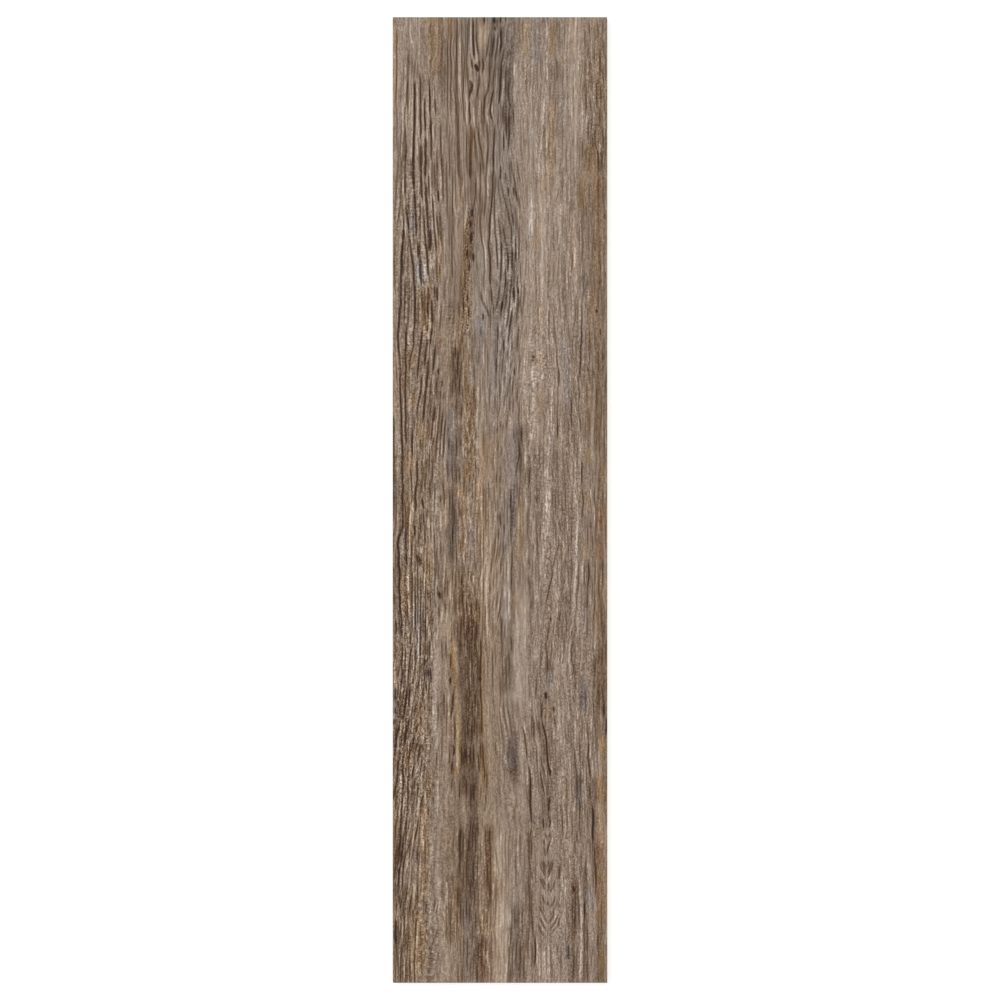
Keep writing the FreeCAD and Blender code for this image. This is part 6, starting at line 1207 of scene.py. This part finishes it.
def draw_lines(lines):
    """How far inside the nearest line each grid point lies, negative outside."""
    sheet = blank(-REACH)
    for number, (half_width, points) in enumerate(lines):
        start, end = points[0][1], points[-1][1]
        steep = half_width / min(TAPER * (end - start), LONGEST_TAPER)
        for r in rows_near(start, end):
            v = grid_v[r]
            centre = path_at(points, v) + 0.35 * wander(v * 0.11, number, 1)
            width = min(half_width, (v - start) * steep, (end - v) * steep)
            lean = 0.5 * (path_at(points, v + 1.0) - path_at(points, v - 1.0))
            stretch = math.hypot(1.0, lean)
            outer = (half_width + REACH) * stretch
            row = sheet[r]
            for c in columns_near(centre - outer, centre + outer):
                row[c] = max(row[c], width - abs(grid_u[c] - centre) / stretch)
    return sheet


def band_parts(half_width, points, edge, fade):
    """The rows, columns and shares from 0 to 1 of a broad stroke with soft edges."""
    start, end = points[0][1], points[-1][1]
    for r in rows_near(start, end):
        v = grid_v[r]
        ends = smooth(min(v - start, end - v) / min(fade, 0.4 * (end - start)))
        centre = path_at(points, v)
        outer = half_width + edge
        for c in columns_near(centre - outer, centre + outer):
            u = grid_u[c]
            ragged = 0.3 * edge * wander(u * 0.35, v * 0.025, 2)
            yield r, c, ends * smooth((half_width + 0.5 * edge + ragged - abs(u - centre)) / edge)


def draw_bands(strokes):
    sheet = blank()
    for half_width, *numbers in strokes:
        for r, c, share in band_parts(half_width, pairs(numbers), BAND_EDGE, BAND_FADE):
            sheet[r][c] = max(sheet[r][c], share)
    return sheet


def add_shades(sheet, shades):
    for strength, half_width, *numbers in shades:
        edge = max(SHADE_EDGE, 0.8 * half_width)
        for r, c, share in band_parts(half_width, pairs(numbers), edge, 3.0 * edge):
            sheet[r][c] += strength * share
    return sheet


def combined(*weighted):
    """The sum of sheets, each with its weight."""
    total = blank()
    for weight, sheet in weighted:
        for into, row in zip(total, sheet):
            for c, value in enumerate(row):
                into[c] += weight * value
    return total


def guide_places(v):
    """Where each guide line is at v, and the place across the grain that it stands for."""
    return [(path_at(pairs(guide[1:]), v), guide[0]) for guide in GUIDES]


def place_across(u, guides):
    """The place across the grain of a point: even between the guide lines."""
    i = 0
    while i < len(guides) - 2 and u > guides[i + 1][0]:
        i += 1
    (u0, place0), (u1, place1) = guides[i], guides[i + 1]
    share = clamp((u - u0) / (u1 - u0))
    return place0 + (place1 - place0) * share + min(u - u0, 0.0) + max(u - u1, 0.0)


def follow_grain(u, start, end):
    """Points of a line that begins at u and keeps its place across the grain."""
    place = place_across(u, guide_places(start))
    count = max(2, round((end - start) / RUN_STEP))
    points = []
    for v in even_steps(start, end, count):
        swapped = [(at, along) for along, at in guide_places(v)]
        points.append((place_across(place, swapped), v))
    return points


def with_runs(strokes, runs):
    """Strokes, and those of the runs: each is half width, u and v of its start, and v of its end."""
    lines = [(stroke[0], pairs(stroke[1:])) for stroke in strokes]
    return lines + [(half_width, follow_grain(u, start, end)) for half_width, u, start, end in runs]


def draw_across():
    """The place across the grain at each grid point, with a little wander."""
    sheet = blank()
    for r, v in enumerate(grid_v):
        guides = guide_places(v)
        for c, u in enumerate(grid_u):
            drift = 1.2 * wander(u * 0.10, v * 0.05, 3) + 1.5 * wander(u * 0.05, v * 0.012, 4)
            sheet[r][c] = place_across(u, guides) + drift
    return sheet


def draw_sheets():
    """The fields of the wood picture on the grid, which the print and the relief both use."""
    sheets = {
        "across": draw_across(),
        "cracks": draw_lines(with_runs(CRACKS, CRACK_RUNS)),
        "dark_lines": draw_lines(with_runs(DARK_LINES, DARK_RUNS)),
        "light_lines": draw_lines(with_runs(LIGHT_LINES, LIGHT_RUNS)),
        "speckle": add_shades(blank(), SPECKLES),
        "lined": add_shades(blank(), LINED),
        "ringed": add_shades(blank(), RINGED),
        "rippled": add_shades(blank(), RIPPLED),
    }
    tone = combined((-20.0, draw_bands(DARK_BANDS)), (17.0, draw_bands(LIGHT_BANDS)))
    sheets["tone"] = add_shades(tone, SHADES)
    warmth = combined((0.8, draw_bands(GOLDEN_BANDS)), (-0.8, draw_bands(COOL_BANDS)))
    sheets["warmth"] = add_shades(warmth, TINTS)
    return sheets


def depth_at(sheets, r, c):
    """How deep the grain lies below the face, as a share of DEEPEST."""
    crack = clamp((sheets["cracks"][r][c] + 0.6) / 1.6)
    line = clamp((sheets["dark_lines"][r][c] + 0.6) / 1.6)
    raised = clamp((sheets["light_lines"][r][c] + 0.6) / 1.6)
    coarse = 0.10 * wander(sheets["across"][r][c] * 0.25, grid_v[r] * 0.012, 5)
    return clamp(0.12 + 0.75 * crack + 0.30 * line - 0.12 * raised + coarse)


# Nodes written as sums


class Field:
    """A number at each point of a surface: the output of a node. Sums of fields add nodes."""

    def __init__(self, graph, socket):
        self.graph = graph
        self.socket = socket

    def __add__(self, other):
        return self.graph.math("ADD", self, other)

    def __sub__(self, other):
        return self.graph.math("SUBTRACT", self, other)

    def __mul__(self, other):
        return self.graph.math("MULTIPLY", self, other)

    __radd__ = __add__
    __rmul__ = __mul__

    def __rsub__(self, other):
        return self.graph.math("SUBTRACT", other, self)

    def above(self, low, high):
        """0 up to low, 1 from high, and straight between them."""
        step = 1.0 / (high - low)
        return self.graph.math("MULTIPLY_ADD", self, step, -low * step, clamp=True)

    def lines(self):
        """The distance to the nearest whole number, doubled: 0 on lines, 1 half way."""
        return self.graph.math("PINGPONG", self, 0.5) * 2.0


class Graph:
    """Adds nodes to a material's tree."""

    def __init__(self, material):
        self.tree = material.node_tree

    def add(self, kind, *inputs, **settings):
        node = self.tree.nodes.new(kind)
        for name, value in settings.items():
            setattr(node, name, value)
        for socket, value in zip(node.inputs, inputs):
            self.feed(socket, value)
        return node

    def feed(self, socket, value):
        if isinstance(value, Field):
            self.tree.links.new(value.socket, socket)
        elif value is not None:
            socket.default_value = value

    def math(self, operation, *values, clamp=False):
        node = self.add("ShaderNodeMath", *values, operation=operation, use_clamp=clamp)
        return Field(self, node.outputs[0])

    def combine(self, x, y, z=0.0):
        return Field(self, self.add("ShaderNodeCombineXYZ", x, y, z).outputs[0])

    def attribute(self, name):
        node = self.add("ShaderNodeAttribute", attribute_name=name)
        return Field(self, node.outputs["Fac"])

    def place(self):
        """The coordinates of the object, which are those of the frame."""
        node = self.add("ShaderNodeTexCoord")
        return Field(self, node.outputs["Object"])

    def separate(self, vector):
        node = self.add("ShaderNodeSeparateXYZ", vector)
        return [Field(self, output) for output in node.outputs]

    def noise(self, across, along, seed, detail=1.0, roughness=0.6):
        """Smooth noise about 0, mostly between -1 and 1."""
        place = self.combine(across + seed * 7.31, along + seed * 3.77)
        node = self.add("ShaderNodeTexNoise", noise_dimensions="2D")
        self.feed(node.inputs["Vector"], place)
        node.inputs["Scale"].default_value = 1.0
        node.inputs["Detail"].default_value = detail
        node.inputs["Roughness"].default_value = roughness
        return (Field(self, node.outputs[0]) - 0.5) * 3.0

    def mottle(self, size):
        """Noise about 0 in the round, with lumps of a size in metres."""
        node = self.add("ShaderNodeTexNoise", self.place())
        node.inputs["Scale"].default_value = 1.0 / size
        node.inputs["Detail"].default_value = 2.0
        return (Field(self, node.outputs[0]) - 0.5) * 3.0

    def raise_surface(self, shader, height, depth):
        """Fine relief: a field's height of 1 stands out by the depth in metres."""
        node = self.add("ShaderNodeBump")
        self.feed(node.inputs["Height"], height)
        node.inputs["Distance"].default_value = depth
        self.tree.links.new(node.outputs[0], shader.inputs["Normal"])


class Grain:
    """The fields of the wood picture at each point of the printed face."""

    def __init__(self, graph):
        self.graph = graph
        x, y, _ = graph.separate(graph.place())
        self.v = (box.top - y) * units_down + FACE_TOP
        self.u = (x - box.left) * units_across + FACE_LEFT
        v, across = self.v, graph.attribute("across")
        self.across = across
        self.grit = graph.noise(across * 0.95, v * 0.60, 20, 0.0)
        self.fleck = graph.noise(across * 0.60, v * 0.25, 21)
        self.dash = graph.noise(across * 0.50, v * 0.08, 22)
        self.thread = graph.noise(across * 0.42, v * 0.025, 23)
        self.fibre = graph.noise(across * 0.42, v * 0.006, 26, 0.0)
        self.streak = graph.noise(across * 0.20, v * 0.008, 24)
        self.ripple = graph.noise(across * 0.16, v * 0.42, 27)
        self.cloud = graph.noise(across * 0.07, v * 0.012, 25, 2.0)
        self.rings = 1.0 - (across * (1.0 / 5.4)).lines().above(0.10, 0.50)
        self.fine_rings = 1.0 - (across * (1.0 / 3.3) + self.streak * 0.25).lines().above(0.05, 0.60)


def tone_of(grain):
    """Lightness of the print from 0 to 255, as a screen shows it."""
    graph = grain.graph
    speckle = graph.attribute("speckle") + 1.0
    lined = graph.attribute("lined")
    tone = 124.0 + graph.attribute("tone") + grain.cloud * 5.0
    tone = tone + (grain.grit * 16.0 + grain.fleck * 17.0) * speckle
    tone = tone + grain.dash * 18.0 + grain.thread * 14.0 + grain.fibre * 14.0 + grain.streak * 8.0
    tone = tone - (grain.fine_rings * 26.0 - 8.0) * lined
    tone = tone + grain.ripple * graph.attribute("rippled") * 30.0
    broken = (grain.thread * 0.4 + grain.streak * 0.5 + 0.7).above(0.0, 1.0)
    tone = tone - (grain.rings * broken * 46.0 - 8.0) * graph.attribute("ringed")
    beads = grain.fleck * 0.32 + grain.dash * 0.30 + grain.grit * 0.12
    tone = tone - (graph.attribute("dark_lines") + beads).above(-0.45, 0.35) * 48.0
    tone = tone + (graph.attribute("light_lines") + beads).above(-0.45, 0.35) * 35.0
    tone = tone - (graph.attribute("cracks") + beads).above(-0.45, 0.5) * 80.0
    return graph.math("MAXIMUM", tone, 24.0)


def colour_of(grain):
    """The print's colour. A screen's red, green and blue differ from the tone by even steps."""
    graph = grain.graph
    tone = tone_of(grain)
    warmth = grain.cloud * 0.25 + graph.attribute("warmth")
    red = tone * 0.98 + warmth * 5.0 + 17.0
    green = tone * 1.01 - warmth * 1.0 - 5.0
    blue = tone * 1.02 - warmth * 9.0 - 22.0
    screen = graph.combine(red * SCREEN, green * SCREEN, blue * SCREEN)
    gamma = graph.add("ShaderNodeGamma", screen, 2.2)
    return Field(graph, gamma.outputs[0])


def new_material(name):
    material = bpy.data.materials.new(name)
    material.use_nodes = True
    return material, Graph(material), material.node_tree.nodes["Principled BSDF"]


def face_material():
    material, graph, shader = new_material("printed_glaze")
    grain = Grain(graph)
    graph.feed(shader.inputs["Base Color"], colour_of(grain))
    graph.feed(shader.inputs["Roughness"], 0.55 + grain.dash * 0.08)
    shader.inputs["Specular IOR Level"].default_value = 0.25
    graph.raise_surface(shader, grain.grit + grain.dash * 2.0, FINE_RELIEF)
    return material


def body_colour(graph, tone):
    """The pale beige of the fired body, lighter or darker by the tone about 1."""
    red, green, blue = BODY
    return graph.combine(tone * red, tone * green, tone * blue)


def side_material():
    """The ground sides: grains of the body, marks of the wheel and the pale coat at the top."""
    material, graph, shader = new_material("ground_body")
    x, y, z = graph.separate(graph.place())
    top = box.high - BEVEL
    coat = z.above(top - COAT, top - 0.8 * COAT)
    scratch = graph.noise(z * (1.0 / SCRATCH), (x + y) * (1.0 / SCRATCH_LENGTH), 31)
    grains = graph.mottle(GRAIN_SIZE)
    tone = 0.95 + grains * 0.11 + graph.mottle(CLOUD_SIZE) * 0.07 + scratch * 0.06 + coat * 0.28
    graph.feed(shader.inputs["Base Color"], body_colour(graph, tone))
    graph.feed(shader.inputs["Roughness"], 0.72 + scratch * 0.06)
    graph.raise_surface(shader, grains + scratch, FINE_RELIEF)
    return material


def back_material():
    """The pressed back: the body's grains, and the pale wash that the kiln leaves on the pads."""
    material, graph, shader = new_material("pressed_back")
    z = graph.separate(graph.place())[2]
    grains = graph.mottle(GRAIN_SIZE)
    clouds = graph.mottle(CLOUD_SIZE)
    wash = (1.0 - z.above(box.low, box.low + WASH)) * (clouds + grains * 0.4).above(-0.9, 0.9)
    tone = 0.86 + grains * 0.10 + clouds * 0.05 + wash * 0.24
    graph.feed(shader.inputs["Base Color"], body_colour(graph, tone))
    graph.feed(shader.inputs["Roughness"], 0.82 + grains * 0.05)
    graph.raise_surface(shader, grains, 2.0 * FINE_RELIEF)
    return material


# The tile


def near(a, b):
    return abs(a - b) < 0.001 * MILLIMETRE


def add_back(mesh):
    """The CAD part's own back with its key pattern. Returns the corners of its outline."""
    bmesh.ops.remove_doubles(mesh, verts=mesh.verts, dist=0.01 * MILLIMETRE)
    half_way = (box.low + box.high) / 2
    upper = [face for face in mesh.faces if max(v.co.z for v in face.verts) > half_way]
    bmesh.ops.delete(mesh, geom=upper, context="FACES")
    for face in mesh.faces:
        face.material_index = BACK
    places = [(box.left, box.top), (box.right, box.top), (box.right, box.bottom), (box.left, box.bottom)]
    corners = []
    for x, y in places:
        corners += [v for v in mesh.verts if near(v.co.x, x) and near(v.co.y, y) and near(v.co.z, box.low)]
    return corners


def bevel_foot(point):
    """Where the bevel below a point of the face's border ends."""
    x, y, z = point
    if near(x, box.left + BEVEL):
        x = box.left
    if near(x, box.right - BEVEL):
        x = box.right
    if near(y, box.bottom + BEVEL):
        y = box.bottom
    if near(y, box.top - BEVEL):
        y = box.top
    return x, y, box.high - BEVEL


def add_face(mesh, sheets, layers):
    """The fine grid of the face and the bevel round it. Returns the points of the bevel's foot."""
    grid = []
    for r, y in enumerate(grid_y):
        grid.append([])
        for c, x in enumerate(grid_x):
            vert = mesh.verts.new((x, y, box.high - DEEPEST * depth_at(sheets, r, c)))
            for name, layer in layers.items():
                vert[layer] = sheets[name][r][c]
            grid[r].append(vert)
    for high, low in zip(grid, grid[1:]):
        for c in range(COLUMNS):
            face = mesh.faces.new((low[c], low[c + 1], high[c + 1], high[c]))
            face.smooth = True
    right = [row[-1] for row in grid]
    left = [row[0] for row in grid]
    ring = grid[0][:-1] + right[:-1] + grid[-1][:0:-1] + left[:0:-1]
    foot = []
    for vert in ring:
        below = mesh.verts.new(bevel_foot(vert.co))
        for layer in layers.values():
            below[layer] = vert[layer]
        foot.append(below)
    for i in range(len(ring)):
        j = (i + 1) % len(ring)
        mesh.faces.new((foot[j], foot[i], ring[i], ring[j]))
    return foot


def add_sides(mesh, foot, corners):
    """Ground sides from the bevel's foot down to the back's outline."""
    starts = [0, COLUMNS, COLUMNS + ROWS, 2 * COLUMNS + ROWS, 2 * (COLUMNS + ROWS)]
    for side in range(4):
        this, following = corners[side], corners[(side + 1) % 4]
        first, last = starts[side], starts[side + 1]
        middle = (first + last) // 2
        walls = [mesh.faces.new((following, this, foot[middle]))]
        for i in range(first, last):
            j = (i + 1) % len(foot)
            walls.append(mesh.faces.new((this if i < middle else following, foot[i], foot[j])))
        for wall in walls:
            wall.material_index = SIDE


def build_tile():
    """The slab: the CAD part's own back, ground sides, bevel, and a fine grid for the face."""
    sheets = draw_sheets()
    mesh = bmesh.new()
    mesh.from_mesh(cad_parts[NODE].data)
    layers = {name: mesh.verts.layers.float.new(name) for name in sheets}
    corners = add_back(mesh)
    foot = add_face(mesh, sheets, layers)
    add_sides(mesh, foot, corners)
    bmesh.ops.recalc_face_normals(mesh, faces=mesh.faces)
    data = bpy.data.meshes.new("glazed_plank")
    mesh.to_mesh(data)
    mesh.free()
    piece = bpy.data.objects.new("glazed_plank", data)
    bpy.context.scene.collection.objects.link(piece)
    for material in (face_material(), side_material(), back_material()):
        piece.data.materials.append(material)
    return piece


# Studio


def sun(name, direction, strength, angle):
    light = bpy.data.lights.new(name, "SUN")
    light.energy = strength
    light.angle = angle
    lamp = bpy.data.objects.new(name, light)
    lamp.rotation_euler = Vector(direction).to_track_quat("Z", "Y").to_euler()
    bpy.context.scene.collection.objects.link(lamp)


def seen_directly(graph):
    """1 for rays from the camera, or that came off a mirror or through glass, else 0."""
    path = graph.add("ShaderNodeLightPath")
    seen = Field(graph, path.outputs["Is Camera Ray"])
    seen = graph.math("MAXIMUM", seen, Field(graph, path.outputs["Is Glossy Ray"]))
    return graph.math("MAXIMUM", seen, Field(graph, path.outputs["Is Transmission Ray"]))


def build_floor():
    """A wide floor, open under the tile, where only the back can be seen through it and lit."""
    hole_x, hole_y = box.right - LEDGE, box.top - LEDGE
    corners = [(-1, -1), (1, -1), (1, 1), (-1, 1)]
    points = [(i * hole_x, j * hole_y, box.low) for i, j in corners]
    points += [(i * FLOOR_REACH, j * FLOOR_REACH, box.low) for i, j in corners]
    faces = [(i, 4 + i, 4 + (i + 1) % 4, (i + 1) % 4) for i in range(4)]
    data = bpy.data.meshes.new("floor")
    data.from_pydata(points, [], faces)
    floor = bpy.data.objects.new("floor", data)
    bpy.context.scene.collection.objects.link(floor)
    material, graph, shader = new_material("floor")
    shader.inputs["Base Color"].default_value = (0.8, 0.8, 0.8, 1.0)
    shader.inputs["Roughness"].default_value = 1.0
    shader.inputs["Specular IOR Level"].default_value = 0.0
    shader.inputs["Emission Color"].default_value = (1.0, 1.0, 1.0, 1.0)
    graph.feed(shader.inputs["Emission Strength"], seen_directly(graph) * 0.42)
    floor.data.materials.append(material)


def build_light():
    world = bpy.data.worlds.new("world")
    bpy.context.scene.world = world
    world.use_nodes = True
    background = world.node_tree.nodes["Background"]
    graph = Graph(world)
    graph.feed(background.inputs["Strength"], 0.55 + seen_directly(graph) * 0.45)
    background.inputs["Color"].default_value = (1.0, 1.0, 1.0, 1.0)
    sun("key", (-0.55, 0.45, 0.7), 1.25, 0.7)
    sun("fill", (0.7, -0.3, 0.6), 0.75, 1.0)


def build_camera():
    """Straight above the tile, at the distance that makes it as long as in the picture."""
    data = bpy.data.cameras.new("camera")
    data.lens = LENS
    data.sensor_width = SENSOR
    camera = bpy.data.objects.new("camera", data)
    distance = PICTURE / units_down * LENS / SENSOR
    camera.location = ((box.left + box.right) / 2, (box.bottom + box.top) / 2, box.high + distance)
    bpy.context.scene.collection.objects.link(camera)
    bpy.context.scene.camera = camera


tile = build_tile()
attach(tile, "root")
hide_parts(NODE)
build_floor()
build_light()
build_camera()
bpy.context.scene.view_settings.view_transform = "Standard"
